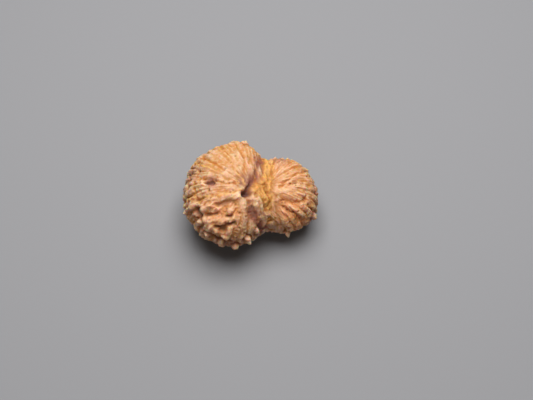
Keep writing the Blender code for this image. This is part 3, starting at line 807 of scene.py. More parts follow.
    stains: tuple[Stain, ...] = (
        Stain(Mark.PLUM, Patch((0.5, -1.4), 1.8), 1.00),
        Stain(Mark.PLUM, Patch((0.1, -3.5), 0.9), 1.00),
        Stain(Mark.PLUM, Patch((6.7, -4.5), 1.0), 0.60),
        Stain(Mark.PLUM, Patch((-10.8, -6.8), 1.8), 0.55),
        Stain(Mark.PLUM, Patch((-11.8, 2.8), 2.6), 0.62),
        # partly the pit's own plum colour, partly painted shade that darkens the left pit
        Stain(Mark.PLUM, Patch((-7.5, -1.6), 1.4), 1.00),
        Stain(Mark.PLUM, Patch((-0.6, -1.3), 1.6), 1.00),
        # painted shade: this plum patch darkens the lower front and its pegs, which lie in the seed's shade
        Stain(Mark.PLUM, Patch((-4.0, -11.8, -2.0), 4.0), 0.60),
        Stain(Mark.PLUM, Patch((7.6, 6.2), 1.9), 0.80),
        Stain(Mark.PLUM, Patch((14.6, -0.6, -1.0), 2.4), 0.60),
        Stain(Mark.PLUM, Patch((3.9, -8.7), 2.6), 0.60),
        Stain(Mark.PLUM, Patch((1.4, -7.8), 1.7), 0.95),
        Stain(Mark.PLUM, Patch((2.6, 4.6), 1.6), 0.60),
        Stain(Mark.PLUM, Patch((13.4, -4.6, -1.8), 2.2), 0.60),
        Stain(Mark.ORANGE, Patch((11.7, -7.4), 3.2), 0.75),
        Stain(Mark.ORANGE, Patch((9.8, 0.5), 8.0), 0.35),
        Stain(Mark.ORANGE, Patch((-4.5, -3.8), 1.6), 0.35),
        # partly the skin's own orange, partly painted warm shade on the lower front, which lies in shade
        Stain(Mark.ORANGE, Patch((-5.5, -9.0), 6.5), 0.62),
        Stain(Mark.ORANGE, Patch((9.5, -5.8), 4.8), 0.80),
        Stain(Mark.PALE, Patch((-2.2, 9.4, 5.2), 2.2), 0.40),
        Stain(Mark.ORANGE, Patch((1.6, -3.1), 0.9), 0.80),
        Stain(Mark.PALE, Patch((-9.1, -2.0), 1.0), 0.90),
        Stain(Mark.PALE, Patch((-12.3, 3.4), 1.2), 0.95),
        Stain(Mark.PALE, Patch((-12.6, -1.6), 1.5), 0.60),
        Stain(Mark.PALE, Patch((9.2, -0.6), 3.2), 0.45),
        Stain(Mark.PALE, Patch((-2.6, -4.8), 1.8), 0.45),
        Stain(Mark.PALE, Patch((1.7, -6.0), 1.1), 0.55),
        Stain(Mark.PALE, Patch((2.9, 2.0), 0.9), 0.80),
        Stain(Mark.PALE, Patch((7.6, 4.6), 1.2), 0.50),
        Stain(Mark.PALE, Patch((-1.6, 3.6), 2.4), 0.35),
    )


@dataclass
class SkinMaps:
    """What the skin holds at each point of the mesh: its height and the maps that the finish reads."""

    height: Values
    maps: dict[Mark, Values]


@dataclass(frozen=True)
class Skin:
    """The seed's relief, from the bold ridges down to fibres and pores."""

    body: SeedBody
    ribs: Ribs
    marks: Landmarks = Landmarks()
    wander: tuple[Noise, ...] = (Noise(1.8, 0.40, 30), Noise(0.77, 0.16, 40))
    vigour_noise: Noise = Noise(1.25, 0.36, 60)
    knob_vigour: float = 0.22
    peg_noise: Noise = Noise(0.9, 0.45, 62)
    core_fibres: Noise = Noise(1.3, 0.42, 70)
    core_stretch: tuple[float, float, float] = (1.3, 0.8, 1.0)
    folds: Noise = Noise(1.5, 0.16, 100)
    wrinkles: Noise = Noise(0.85, 1.0, 110)
    wrinkle_height: float = 0.09
    fibres: Noise = Noise(0.32, 1.0, 120)
    fibre_height: float = 0.07
    lumps: Noise = Noise(1.25, 0.10, 150)
    grit: Noise = Noise(0.80, 0.055, 80)
    granule_height: float = 0.10
    furrow_weave: Noise = Noise(1.0, 0.14, 155)
    furrow_stretch: tuple[float, float, float] = (0.8, 1.7, 1.0)
    crack_depth: float = 0.07
    thread_height: float = 0.38
    thread_power: float = 3.0
    pit_calm: float = 0.8
    # painted shade: the small pits' share in the pit map, which the finish paints dark
    pit_shade_share: float = 0.45
    pore_count: int = 160
    pore_radius: float = 0.20
    pore_depth: float = 0.25
    # painted shade: how dark the pores are painted
    pore_shade_share: float = 0.4
    pore_sizes: tuple[float, float] = (0.6, 1.3)
    pore_chance: float = 0.15
    pore_chance_away: float = 0.25
    broad_rounds: int = 40
    close_rounds: int = 5
    blur_share: float = 0.7
    hollow_level: float = 0.5
    hollow_broad: float = 0.64
    hollow_close: float = 0.75
    stain_noise: Noise = Noise(1.1, 0.7, 130)
    streaks: Noise = Noise(0.75, 1.0, 160)
    streak_start: float = 0.30
    streak_gain: float = 2.2
    streak_spread: Noise = Noise(4.5, 0.9, 170)

    def nearness(
        self, points: Points, line: Points, width: float, reach: float
    ) -> tuple[Values, Values]:
        """Indices of the points near a line on the skin, and their distances from it in half widths.

        Args:
            points: places in millimetres.
            line: points along the line.
            width: its half width in millimetres.
            reach: how far a near point may lie from it, in half widths.

        Returns:
            The near points' indices, and their distances.
        """
        far = reach * width
        low, high = line.min(axis=0) - far, line.max(axis=0) + far
        near = np.where(((points > low) & (points < high)).all(axis=1))[0]
        distance = np.full(len(near), np.inf)
        for at in line:
            distance = np.minimum(distance, np.linalg.norm(points[near] - at, axis=1))
        kept = distance < far
        return near[kept], distance[kept] / width

    def near_stroke(self, points: Points, stroke: Stroke, reach: float) -> tuple[Values, Values]:
        """Indices of the points near a stroke, and their distances from it in half widths."""
        return self.nearness(points, self.body.skin_line(stroke), stroke.half_width, reach)

    def raise_ridge(self, height: Values, points: Points, vigour: Values, stroke: Stroke) -> None:
        """A soft ridge with an uneven crest.

        Args:
            height: the skin's heights, which are changed in place.
            points: where the heights are.
            vigour: how strongly the skin grew at each point, about one.
            stroke: the ridge, with its crest's height where the vigour is one.
        """
        near, share = self.near_stroke(points, stroke, RIDGE_REACH)
        height[near] += stroke.height * vigour[near] * np.exp(-(share**self.marks.ridge_fall))

    def press_groove(self, height: Values, points: Points, stroke: Stroke, mark: Values) -> None:
        """A soft groove along a stroke, or a broad swell, whose share is added to a map.

        Args:
            height: the skin's heights, which are changed in place.
            points: places in millimetres.
            stroke: the groove, with its height below zero, or the swell.
            mark: the map, which is changed in place.
        """
        near, share = self.near_stroke(points, stroke, GROOVE_REACH)
        depth = np.exp(-(share**2))
        height[near] += stroke.height * depth
        mark[near] = np.maximum(mark[near], depth)

    def press_hole(self, height: Values, points: Points, stroke: Stroke, mark: Values) -> None:
        """A steep-sided hole along a stroke, down to the stroke's height, added to a map.

        Args:
            height: the skin's heights, which are changed in place.
            points: places in millimetres.
            stroke: the hole, with the height of its floor.
            mark: the map, which is changed in place.
        """
        near, share = self.near_stroke(points, stroke, HOLE_REACH)
        inside = np.exp(-(share**self.marks.hole_fall))
        height[near] = height[near] * (1.0 - inside) + stroke.height * inside
        mark[near] = np.maximum(mark[near], inside)

    def core_share(self, points: Points) -> Values:
        """One where the pale core shows between the lobes, and nothing elsewhere."""
        shares = [self.body.patch_share(points, patch) for patch in self.marks.core]
        return np.clip(self.marks.core_edge * np.max(shares, axis=0), 0.0, 1.0) ** 2

    def raise_pegs(self, height: Values, points: Points, vigour: Values, mark: Values) -> None:
        """The pegs round the sides of both lobes, the gaps round which are added to a map that the finish
        paints shade into.

        Args:
            height: the skin's heights, which are changed in place.
            points: places in millimetres.
            vigour: how strongly the skin grew at each point, about one.
            mark: the map, which is changed in place.
        """
        marks = self.marks
        lobes = (self.body.large, self.body.small)
        for lobe, pegs in zip(lobes, (marks.large_lobe_pegs, marks.small_lobe_pegs)):
            for peg in pegs:
                rises = np.linspace(peg.rise, peg.rise - marks.peg_reach, marks.peg_places)
                line = np.array([self.body.side_point(lobe, peg.bearing, rise) for rise in rises])
                near, share = self.nearness(points, line, marks.peg_radius, RIDGE_REACH)
                strength = marks.peg_steady + (1.0 - marks.peg_steady) * vigour[near]
                strength *= 1.0 + self.peg_noise.uneven(points[near])
                knob = strength * np.exp(-(share**marks.peg_fall))
                gap = np.exp(-(((share - marks.peg_gap_place) / marks.peg_gap_width) ** 2))
                height[near] += peg.height * (knob - marks.peg_gap * gap)
                mark[near] = np.maximum(mark[near], gap)

    def raise_feet(self, height: Values, points: Points) -> None:
        """The low round knobs that reach just past the resting level, clear of the ribs beside them.

        Args:
            height: the skin's heights, which are changed in place.
            points: places in millimetres.
        """
        marks = self.marks
        for plan in marks.feet:
            line = self.body.skin_point(plan, under=True)[None, :]
            slope = -unit(self.body.gradient(line))[0, 2]
            crest = (line[0, 2] - marks.resting_level + marks.foot_wear) / slope
            near, share = self.nearness(points, line, marks.foot_radius, HOLE_REACH)
            clearing = marks.foot_clearing * np.exp(-((share / marks.foot_clearing_width) ** 4))
            knob = crest * np.clip(1.0 - share**2, 0.0, 1.0) ** marks.foot_roundness
            height[near] = np.maximum(height[near] * (1.0 - clearing), knob)

    def large_forms(self, points: Points, trail: list[Points]) -> SkinMaps:
        """The relief that the solid has too, with its maps.

        Args:
            points: places in millimetres.
            trail: places along the rib through each point.

        Returns:
            The skin's height at each point, and the maps of these forms.
        """
        wandering = points
        for noise in self.wander:
            wandering = noise.bend(wandering)
        height, knob, groove = self.ribs.raise_from(points, wandering, trail)
        height = height + self.ribs.regional(points, "folds") * self.ribs.drawn_out(trail, self.folds)
        vigour = 1.0 - self.knob_vigour + self.knob_vigour * knob
        vigour *= 1.0 + self.vigour_noise.uneven(points)
        core = self.core_share(wandering)
        fibres = self.core_fibres.uneven(points * np.array(self.core_stretch))
        height = height * (1.0 - self.marks.core_press * core) + (self.marks.core_height + fibres) * core
        furrow, seam, pit, peg, unmarked = (np.zeros(len(points)) for _ in range(5))
        for stroke in self.marks.swells:
            self.press_groove(height, points, stroke, unmarked)
        grooves = ((self.marks.furrow, furrow), (self.marks.seams, seam), (self.marks.cracks, groove))
        for strokes, mark in grooves:
            for stroke in strokes:
                self.press_groove(height, wandering, stroke, mark)
        for stroke in self.marks.ridges + self.marks.core_ridges:
            self.raise_ridge(height, wandering, vigour, stroke)
        self.raise_pegs(height, wandering, vigour, peg)
        self.raise_feet(height, wandering)
        for stroke in self.marks.pits:
            self.press_hole(height, wandering, stroke, pit)
        # the small pits get a weaker share of the painted shade than the hole
        pit *= self.pit_shade_share
        self.press_hole(height, wandering, self.marks.hole, pit)
        maps = {Mark.CORE: core, Mark.FURROW: furrow, Mark.SEAM: seam, Mark.PIT: pit}
        return SkinMaps(height, {**maps, Mark.GROOVE: groove, Mark.PEG_GAP_SHADE: peg})

    def press_pores(self, skin: SkinMaps, points: Points) -> None:
        """Small round pores, most of them in the grooves of the bolder side, with painted shade in them
        added to the pits' map.

        Args:
            skin: the skin so far, which is changed in place.
            points: places in millimetres.
        """
        rng = np.random.default_rng(self.ribs.random_seed + 6)
        bold = self.pore_chance_away + self.body.patch_share(points, self.ribs.bold.patch)
        chance = (self.pore_chance + skin.maps[Mark.GROOVE]) * bold * (1.0 - skin.maps[Mark.CORE])
        picks = rng.choice(len(points), self.pore_count, replace=False, p=chance / chance.sum())
        pit = skin.maps[Mark.PIT]
        for at, size in zip(points[picks], rng.uniform(*self.pore_sizes, self.pore_count)):
            near, share = self.nearness(points, at[None, :], self.pore_radius * size, HOLE_REACH)
            inside = np.exp(-(share**self.marks.hole_fall))
            skin.height[near] -= self.pore_depth * size * inside
            pit[near] = np.maximum(pit[near], self.pore_shade_share * inside)

    def add_fine_relief(self, skin: SkinMaps, points: Points, trail: list[Points], fibre: Values) -> None:
        """The relief that is finer than the solid's faces.

        Args:
            skin: the skin so far, which is changed in place.
            points: the mesh's points, on the body.
            trail: places along the rib through each point.
            fibre: height of the fibres along the ribs, about from -1 to 1.
        """
        maps = skin.maps
        wrinkle = 1.0 - 2.0 * np.abs(self.ribs.drawn_out(trail, self.wrinkles))
        fine = self.wrinkle_height * self.ribs.regional(points, "wrinkles") * wrinkle
        fine += self.ribs.regional(points, "lumps") * self.lumps.uneven(points)
        fine += self.fibre_height * self.ribs.regional(points, "fibres") * fibre
        granules = np.max([self.body.patch_share(points, patch) for patch in self.marks.granules], axis=0)
        grit = self.grit.amount * self.ribs.regional(points, "grit") + self.granule_height * granules
        fine += grit * self.grit.grains(points) - self.crack_depth * maps[Mark.GROOVE]
        skin.height += fine * (1.0 - self.pit_calm * maps[Mark.PIT])
        weave = self.furrow_weave.uneven(points * np.array(self.furrow_stretch))
        maps[Mark.SEAM] = maps[Mark.SEAM] ** self.thread_power
        skin.height += maps[Mark.FURROW] * weave + self.thread_height * maps[Mark.SEAM]
        self.press_pores(skin, points)

    def blurred(self, values: Values, pairs: Pairs, rounds: int) -> Values:
        """The values evened out with those beside them.

        Args:
            values: one value for each point.
            pairs: pairs of point numbers that lie beside each other.
            rounds: how often each value is drawn to the mean of those beside it.

        Returns:
            The evened values.
        """
        for _ in range(rounds):
            values = (1.0 - self.blur_share) * values + self.blur_share * mean_beside(values, pairs)
        return values

    def grow(self, points: Points, pairs: Pairs) -> SkinMaps:
        """The whole relief over points of the body, with the maps that the finish reads.

        Args:
            points: the mesh's points, on the body.
            pairs: pairs of point numbers that lie beside each other.

        Returns:
            The skin's height at each point, and its maps.
        """
        trail = self.ribs.trail(points)
        skin = self.large_forms(points, trail)
        broad = self.blurred(skin.height, pairs, self.broad_rounds)
        fibre = self.ribs.drawn_out(trail, self.fibres)
        self.add_fine_relief(skin, points, trail, fibre)
        close = self.blurred(skin.height, pairs, self.close_rounds)
        # how hollow the skin is; the finish paints shade into the hollows from this map
        hollow = self.hollow_broad * (skin.height - broad) + self.hollow_close * (skin.height - close)
        skin.maps[Mark.HOLLOW] = np.clip(self.hollow_level - hollow, 0.0, 1.0)
        ragged = 1.0 + self.stain_noise.uneven(points)
        for mark in (Mark.PLUM, Mark.ORANGE, Mark.PALE):
            stains = [stain for stain in self.marks.stains if stain.mark is mark]
            shares = [stain.share * self.body.patch_share(points, stain.patch) for stain in stains]
            skin.maps[mark] = np.clip(np.max(shares, axis=0) * ragged, 0.0, 1.0)
        streak = self.streak_gain * (self.ribs.drawn_out(trail, self.streaks) - self.streak_start)
        spread = np.clip(0.5 + self.streak_spread.plain(points), 0.0, 1.0)
        skin.maps[Mark.STREAK] = np.clip(streak, 0.0, 1.0) * spread
        skin.maps[Mark.FIBRE] = 0.5 + 0.5 * fibre
        return skin


@dataclass(frozen=True)
class SeedModel:
    """The seed's mesh: a cube cut into a fine grid, rounded, drawn onto the body and given its skin."""

    body: SeedBody
    skin: Skin
    cuts: int = 100

    def start_cube(self) -> bpy.types.Object:
        """A cube of side two, cut into a grid on every face.

        Returns:
            The cube's object.
        """
        bpy.ops.object.select_all(action="DESELECT")
        bpy.ops.mesh.primitive_cube_add(size=2.0)
        seed = bpy.context.object
        seed.name = seed.data.name = "seed_skin"
        bpy.ops.object.mode_set(mode="EDIT")
        bpy.ops.mesh.select_all(action="SELECT")
        bpy.ops.mesh.subdivide(number_cuts=self.cuts)
        bpy.ops.mesh.normals_make_consistent(inside=False)
        bpy.ops.object.mode_set(mode="OBJECT")
        return seed

    def neighbours(self, mesh: bpy.types.Mesh) -> Pairs:
        """Pairs of points that share an edge or lie across a face from each other.

        Args:
            mesh: a mesh whose faces have four corners.

        Returns:
            Two point numbers for each pair.
        """
        edges = np.empty(len(mesh.edges) * 2, dtype=int)
        mesh.edges.foreach_get("vertices", edges)
        corners = np.empty(len(mesh.loops), dtype=int)
        mesh.loops.foreach_get("vertex_index", corners)
        corners = corners.reshape(-1, 4)
        return np.vstack((edges.reshape(-1, 2), corners[:, (0, 2)], corners[:, (1, 3)]))

    def build(self) -> bpy.types.Object:
        """The seed's object, at the origin, with its place in its mesh.

        Returns:
            The new object, with one attribute for each mark of the skin.
        """
        seed = self.start_cube()
        mesh = seed.data
        flat = np.empty(len(mesh.vertices) * 3)
        mesh.vertices.foreach_get("co", flat)
        ball = unit(np.tan(flat.reshape(-1, 3) * math.pi / 4.0))
        pairs = self.neighbours(mesh)
        points = self.body.spread(self.body.from_ball(ball), pairs)
        skin = self.skin.grow(points, pairs)
        points = points + unit(self.body.gradient(points)) * skin.height[:, None]
        low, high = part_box(NODE)
        middle = (np.array(low) + np.array(high)) / (2.0 * MM)
        own_middle = (points.min(axis=0) + points.max(axis=0)) / 2.0
        level = self.skin.marks.resting_level
        points += np.array((middle[0] - own_middle[0], middle[1] - own_middle[1], -level))
        LOG.info("the body's origin lies at %s mm in plan", np.round(middle - own_middle, 3)[:2])
        points[:, 2] = np.maximum(points[:, 2], 0.0)
        mesh.vertices.foreach_set("co", (points * MM).ravel())
        for mark, values in skin.maps.items():
            layer = mesh.attributes.new(mark.value, "FLOAT", "POINT")
            layer.data.foreach_set("value", values.astype(np.float32))
        mesh.update()
        mesh.shade_smooth()
        return seed


@dataclass(frozen=True)
class Wire:
    """An output socket that can be reckoned with: each operator adds a Math node."""

    bench: "Bench"
    socket: bpy.types.NodeSocket

    def __add__(self, other: Union["Wire", Number]) -> "Wire":
        """This value plus another."""
        return self.bench.reckon(Key.ADD, self, other)

    def __radd__(self, other: Number) -> "Wire":
        """A number plus this value."""
        return self.bench.reckon(Key.ADD, other, self)

    def __sub__(self, other: Union["Wire", Number]) -> "Wire":
        """This value less another."""
        return self.bench.reckon(Key.SUBTRACT, self, other)

    def __rsub__(self, other: Number) -> "Wire":
        """A number less this value."""
        return self.bench.reckon(Key.SUBTRACT, other, self)

    def __mul__(self, other: Union["Wire", Number]) -> "Wire":
        """This value times another."""
        return self.bench.reckon(Key.MULTIPLY, self, other)

    def __rmul__(self, other: Number) -> "Wire":
        """A number times this value."""
        return self.bench.reckon(Key.MULTIPLY, other, self)


class Bench:
    """A material's node tree, with one method that adds any node."""

    def __init__(self, name: str) -> None:
        """A new material with an empty bench.

        Args:
            name: the material's name.
        """
        self.material = bpy.data.materials.new(name)
        self.material.use_nodes = True
        self.tree = self.material.node_tree
        self.shader = self.tree.nodes["Principled BSDF"]

    def plug(self, value: Any, socket: bpy.types.NodeSocket) -> None:
        """Put a wire or a plain value on a socket.

        Args:
            value: a wire, or a plain value of the socket's kind.
            socket: the input that takes it.
        """
        if isinstance(value, Wire):
            self.tree.links.new(value.socket, socket)
        else:
            socket.default_value = value

    def node(
        self, kind: str, settings: dict[str, Any], sockets: dict[Any, Any], out: Union[int, str] = 0
    ) -> Wire:
        """Add a node.

        Args:
            kind: the node's type.
            settings: its properties, set first; "stops" holds a colour ramp's places and colours.
            sockets: values or wires for its inputs, by name or number.
            out: the output that is wanted, by name or number.

        Returns:
            The output as a wire.
        """
        node = self.tree.nodes.new(kind)
        for name, value in settings.items():
            if name == "stops":
                stops = node.color_ramp.elements
                while len(stops) < len(value):
                    stops.new(1.0)
                for stop, (place, colour) in zip(stops, value):
                    stop.position = place
                    stop.color = (*colour, 1.0)
            else:
                setattr(node, name, value)
        for name, value in sockets.items():
            self.plug(value, node.inputs[name])
        return Wire(self, node.outputs[out])

    def reckon(self, key: Key, first: Union[Wire, Number], second: Union[Wire, Number]) -> Wire:
        """Join two values with a Math node."""
        return self.node("ShaderNodeMath", {"operation": key.value}, {0: first, 1: second})

    def read(self, mark: Mark) -> Wire:
        """One of the skin's maps."""
        return self.node("ShaderNodeAttribute", {"attribute_name": mark.value}, {}, out="Fac")

    def noise(self, place: Wire, grain: "Grain") -> Wire:
        """Smooth noise from 0 to 1."""
        sockets = {"Scale": 1.0 / grain.pitch, "Detail": grain.detail, "Roughness": grain.roughness}
        return self.node("ShaderNodeTexNoise", {}, {"Vector": place, **sockets}, out="Fac")

    def clamp(self, value: Wire) -> Wire:
        """The value kept from 0 to 1."""
        return self.node("ShaderNodeClamp", {}, {"Value": value})

    def blend(self, share: Wire, first: Any, second: Any) -> Wire:
        """The first colour where the share is 0, and the second where it is 1."""
        sockets = {0: share, 6: first, 7: second}
        return self.node("ShaderNodeMix", {"data_type": "RGBA"}, sockets, out=2)


@dataclass(frozen=True)
class Grain:
    """Noise of the finish: the size of its cells in metres, its detail and its roughness."""

    pitch: float
    detail: float
    roughness: float = 0.55


@dataclass(frozen=True)
class Cover:
    """How strongly a colour covers the skin: its share on the crests, and what the hollows add."""

    crest: float
    hollows: float

    def share(self, hollow: Wire) -> Wire:
        """The share at each point."""
        return self.crest + self.hollows * hollow


@dataclass(frozen=True)
class Tone:
    """How light the skin is between its five tones: a level, what each map and noise adds, and painted light
    that makes the front (-Y) paler.
    """

    level: float = 1.02
    # painted shade: the hollows are painted darker, on top of the grooves' own brown
    hollow: float = -0.95
    groove: float = -0.20
    fibre: float = 0.12
    patch: float = 0.40
    fleck: float = 0.74
    speck: float = 0.14
    # painted light: the skin is painted paler towards the front (-Y), which the lamp from behind leaves in
    # shade
    painted_light_along_y: float = -7.0


@dataclass(frozen=True)
class Polish:
    """How rough the skin is: a level, and what the hollows and each noise add."""

    level: float = 0.50
    hollow: float = 0.30
    fleck: float = 0.12
    speck: float = 0.20


@dataclass(frozen=True)
class SeedFinish:
    """Dry, woody skin: tan crests, brown grooves that are partly painted shade, reddish patches, a yellow
    core and seams, and painted shade in the pits and round the pegs.
    """

    deep: Colour = (0.38, 0.108, 0.012)
    dark: Colour = (0.48, 0.170, 0.023)
    brown: Colour = (0.51, 0.228, 0.062)
    tan: Colour = (0.575, 0.335, 0.184)
    cream: Colour = (0.69, 0.468, 0.300)
    stops: tuple[float, ...] = (0.05, 0.22, 0.42, 0.62, 0.88)
    # painted shade for the pits, the hole and the pores
    painted_pit_shade: Colour = (0.15, 0.052, 0.034)
    red: Colour = (0.47, 0.195, 0.120)
    plum: Colour = (0.21, 0.066, 0.046)
    orange: Colour = (0.57, 0.215, 0.070)
    pale: Colour = (0.74, 0.50, 0.32)
    amber: Colour = (0.40, 0.145, 0.022)
    straw: Colour = (0.62, 0.318, 0.086)
    gold: Colour = (0.52, 0.250, 0.062)
    tone: Tone = Tone()
    polish: Polish = Polish()
    patches: Grain = Grain(0.0042, 3.0)
    flecks: Grain = Grain(0.0011, 3.0, 0.65)
    specks: Grain = Grain(0.00035, 2.0)
    red_patches: Grain = Grain(0.0031, 4.0, 0.6)
    gold_patches: Grain = Grain(0.0019, 3.0, 0.6)
    patch_start: float = 0.53
    red_gain: float = 3.2
    red_share: float = 0.42
    gold_gain: float = 3.0
    gold_share: float = 0.50
    # darker plum and orange take more of the hollows, and pale, straw and core yellow take less: partly the
    # grooves' own colour, partly painted shade
    plum_cover: Cover = Cover(0.5, 1.0)
    orange_cover: Cover = Cover(0.4, 1.0)
    pale_cover: Cover = Cover(1.3, -1.6)
    straw_cover: Cover = Cover(1.40, -1.9)
    core_cover: Cover = Cover(1.65, -1.05)
    furrow_plum: float = 0.68
    furrow_fleck: float = 1.5
    straw_fleck: float = 1.2
    seam_yellow: float = 0.85
    streak_yellow: float = 0.52
    # painted shade: how strongly the gaps round the pegs are painted plum-dark
    peg_gap_shade: float = 0.55
    # painted shade: how strongly the pits, hole and pores are painted dark
    pit_shade_blend: float = 1.25
    bump_strength: float = 0.85
    bump_height: float = 0.00014
    bump_mix: tuple[float, float, float] = (0.5, 0.5, 0.25)
    ior: float = 1.46
    glow: float = 0.68
    glow_reach: tuple[float, float, float] = (2.2, 0.60, 0.16)

    def dress(self, seed: bpy.types.Object) -> None:
        """Give the seed its material.

        Args:
            seed: the seed's object, whose mesh holds the skin's maps.
        """
        bench = Bench("dry_seed_shell")
        place = bench.node("ShaderNodeTexCoord", {}, {}, out="Object")
        hollow = bench.read(Mark.HOLLOW)
        fibre = bench.read(Mark.FIBRE)
        fleck = bench.noise(place, self.flecks)
        speck = bench.noise(place, self.specks)
        skin = self.woody(bench, place, hollow, fibre, fleck, speck)
        skin = self.stained(bench, skin, hollow, fleck)
        bench.plug(skin, bench.shader.inputs["Base Color"])

        rough = self.polish.level + self.polish.hollow * hollow
        rough = rough + self.polish.speck * (speck - 0.5) + self.polish.fleck * (fleck - 0.5)
        bench.plug(bench.clamp(rough), bench.shader.inputs["Roughness"])
        of_speck, of_fibre, of_fleck = self.bump_mix
        grain = of_speck * speck + of_fibre * fibre + of_fleck * fleck
        sockets = {"Strength": self.bump_strength, "Distance": self.bump_height, "Height": grain}
        bench.plug(bench.node("ShaderNodeBump", {}, sockets), bench.shader.inputs["Normal"])
        bench.shader.inputs["IOR"].default_value = self.ior
        bench.shader.inputs["Subsurface Weight"].default_value = self.glow
        bench.shader.inputs["Subsurface Radius"].default_value = self.glow_reach
        bench.shader.inputs["Subsurface Scale"].default_value = MM
        seed.data.materials.append(bench.material)

    def woody(self, bench: Bench, place: Wire, hollow: Wire, fibre: Wire, fleck: Wire, speck: Wire) -> Wire:
        """The skin's colour from its tones, with painted shade in the hollows and painted light towards the
        front, and with its reddish and golden patches.

        Args:
            bench: the material's nodes.
            place: Object coordinates.
            hollow: how hollow the skin is.
            fibre: height of the fibres, from 0 to 1.
            fleck: noise of about a millimetre.
            speck: noise of about a third of a millimetre.

        Returns:
            The colour.
        """
        patch = bench.noise(place, self.patches)
        # painted light: the tone rises towards the front (-Y), where the seed lies in the lamp's shade
        painted_light_along_y = bench.node("ShaderNodeSeparateXYZ", {}, {0: place}, out="Y")
        gain = self.tone
        # painted shade: the hollows darken the tone, partly the grooves' own brown and partly shade painted
        # into them
        tone = gain.level + gain.hollow * hollow + gain.patch * (patch - 0.5) + gain.fleck * (fleck - 0.5)
        tone = tone + gain.fibre * (fibre - 0.5) + gain.groove * bench.read(Mark.GROOVE)
        tone = tone + gain.speck * (speck - 0.5) + gain.painted_light_along_y * painted_light_along_y
        colours = (self.deep, self.dark, self.brown, self.tan, self.cream)
        stops = list(zip(self.stops, colours))
        skin = bench.node("ShaderNodeValToRGB", {"stops": stops}, {"Fac": bench.clamp(tone)})
        reddish = bench.clamp(self.red_gain * (bench.noise(place, self.red_patches) - self.patch_start))
        skin = bench.blend(self.red_share * reddish, skin, (*self.red, 1.0))
        golden = bench.clamp(self.gold_gain * (bench.noise(place, self.gold_patches) - self.patch_start))
        return bench.blend(self.gold_share * golden, skin, (*self.gold, 1.0))

    def stained(self, bench: Bench, skin: Wire, hollow: Wire, fleck: Wire) -> Wire:
        """The skin's colour with its stains, its yellow core and seams, and painted shade in its pits, hole
        and pores and round its pegs.

        Args:
            bench: the material's nodes.
            skin: the skin's own colour.
            hollow: how hollow the skin is.
            fleck: noise of about a millimetre.

        Returns:
            The colour.
        """
        furrow = bench.read(Mark.FURROW) * (self.furrow_plum + self.furrow_fleck * (fleck - 0.5))
        plum = bench.clamp(bench.read(Mark.PLUM) * self.plum_cover.share(hollow) + furrow)
        skin = bench.blend(plum, skin, (*self.plum, 1.0))
        orange = bench.clamp(bench.read(Mark.ORANGE) * self.orange_cover.share(hollow))
        skin = bench.blend(orange, skin, (*self.orange, 1.0))
        pale = bench.clamp(bench.read(Mark.PALE) * self.pale_cover.share(hollow))
        skin = bench.blend(pale, skin, (*self.pale, 1.0))
        # painted shade: the yellow turns to a darker amber in the hollows
        straw = bench.clamp(self.straw_cover.share(hollow) + self.straw_fleck * (fleck - 0.5))
        amber = bench.blend(straw, (*self.amber, 1.0), (*self.straw, 1.0))
        yellow = bench.read(Mark.CORE) * self.core_cover.share(hollow)
        yellow = yellow + self.seam_yellow * bench.read(Mark.SEAM)
        yellow = yellow + self.streak_yellow * bench.read(Mark.STREAK)
        skin = bench.blend(bench.clamp(yellow), skin, amber)
        # painted shade: the gaps round the pegs are painted plum-dark
        skin = bench.blend(self.peg_gap_shade * bench.read(Mark.PEG_GAP_SHADE), skin, (*self.plum, 1.0))
        # painted shade in the pits, the hole and the pores
        return bench.blend(bench.clamp(self.pit_shade_blend * bench.read(Mark.PIT)), skin, (*self.painted_pit_shade, 1.0))


@dataclass(frozen=True)
class Lamp:
    """A square soft lamp that shines on the seed."""

    name: str
    place: tuple[float, float, float]
    size: float
    watts: float

    def hang(self) -> None:
        """Put the lamp into the scene."""
        light = bpy.data.lights.new(self.name, "AREA")
        light.size = self.size
        light.energy = self.watts
        lamp = bpy.data.objects.new(self.name, light)
        lamp.location = self.place
        lamp.rotation_euler = (-Vector(self.place)).to_track_quat("-Z", "Y").to_euler()
        bpy.context.scene.collection.objects.link(lamp)


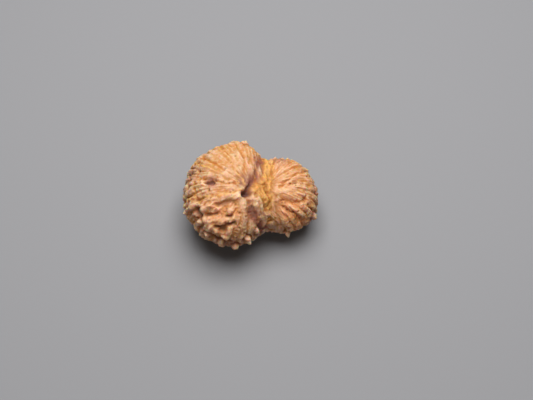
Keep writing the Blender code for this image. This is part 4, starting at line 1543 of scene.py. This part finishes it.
@dataclass(frozen=True)
class Studio:
    """A plain pale floor, a soft light from above and behind with a faint one in front, and the camera."""

    floor_colour: Colour = (0.262, 0.260, 0.268)
    floor_roughness: float = 0.9
    floor_shine: float = 0.1
    floor_size: float = 4.0
    ambient: float = 0.041
    lamps: tuple[Lamp, ...] = (
        Lamp(name="key_light", place=(0.010, 0.074, 0.335), size=0.26, watts=1.97),
        Lamp(name="fill_light", place=(-0.020, -0.260, 0.200), size=0.20, watts=0.07),
    )
    camera_rise: float = 62.0
    camera_distance: float = 0.30
    aim: tuple[float, float, float] = (-0.00015, 0.0, 0.0094)
    aim_pixel: tuple[float, float] = (250.0, 195.0)
    pixels_per_metre: float = 4390.0
    picture: tuple[int, int] = (533, 400)
    sensor: float = 36.0
    nearest: float = 0.01

    def lay_floor(self) -> None:
        """The surface that the seed lies on."""
        bpy.ops.object.select_all(action="DESELECT")
        bpy.ops.mesh.primitive_plane_add(size=self.floor_size)
        floor = bpy.context.object
        floor.name = "floor"
        bench = Bench("pale_floor")
        bench.shader.inputs["Base Color"].default_value = (*self.floor_colour, 1.0)
        bench.shader.inputs["Roughness"].default_value = self.floor_roughness
        bench.shader.inputs["Specular IOR Level"].default_value = self.floor_shine
        floor.data.materials.append(bench.material)

    def light(self) -> None:
        """The lamps and a little light from all round."""
        for lamp in self.lamps:
            lamp.hang()
        world = bpy.data.worlds.new("room_light")
        world.use_nodes = True
        sky = world.node_tree.nodes["Background"]
        sky.inputs["Color"].default_value = (1.0, 1.0, 1.0, 1.0)
        sky.inputs["Strength"].default_value = self.ambient
        bpy.context.scene.world = world

    def aim_camera(self) -> None:
        """The camera, so that a chosen point of the seed shows at a chosen pixel."""
        rise = math.radians(self.camera_rise)
        back = Vector((0.0, -math.cos(rise), math.sin(rise)))
        right = Vector((1.0, 0.0, 0.0))
        up = back.cross(right)
        width, height = self.picture
        aside = (width / 2.0 - self.aim_pixel[0]) / self.pixels_per_metre
        above = (self.aim_pixel[1] - height / 2.0) / self.pixels_per_metre
        target = Vector(self.aim) + right * aside + up * above
        lens = bpy.data.cameras.new("camera")
        lens.sensor_width = self.sensor
        lens.lens = self.sensor * self.camera_distance * self.pixels_per_metre / width
        lens.clip_start = self.nearest
        camera = bpy.data.objects.new("camera", lens)
        camera.location = target + back * self.camera_distance
        camera.rotation_euler = (-back).to_track_quat("-Z", "Y").to_euler()
        bpy.context.scene.collection.objects.link(camera)
        bpy.context.scene.camera = camera
        bpy.context.scene.view_settings.view_transform = "Standard"


def main() -> None:
    """Build the studio and the seed."""
    logging.basicConfig(level=logging.INFO, format="%(name)s: %(message)s")
    studio = Studio()
    studio.aim_camera()
    studio.lay_floor()
    studio.light()
    body = SeedBody()
    seed = SeedModel(body, Skin(body, Ribs(body))).build()
    SeedFinish().dress(seed)
    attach(seed, "root")
    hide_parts(NODE)
    LOG.info("%s has %d faces", seed.name, len(seed.data.polygons))


if __name__ == "__main__":
    main()
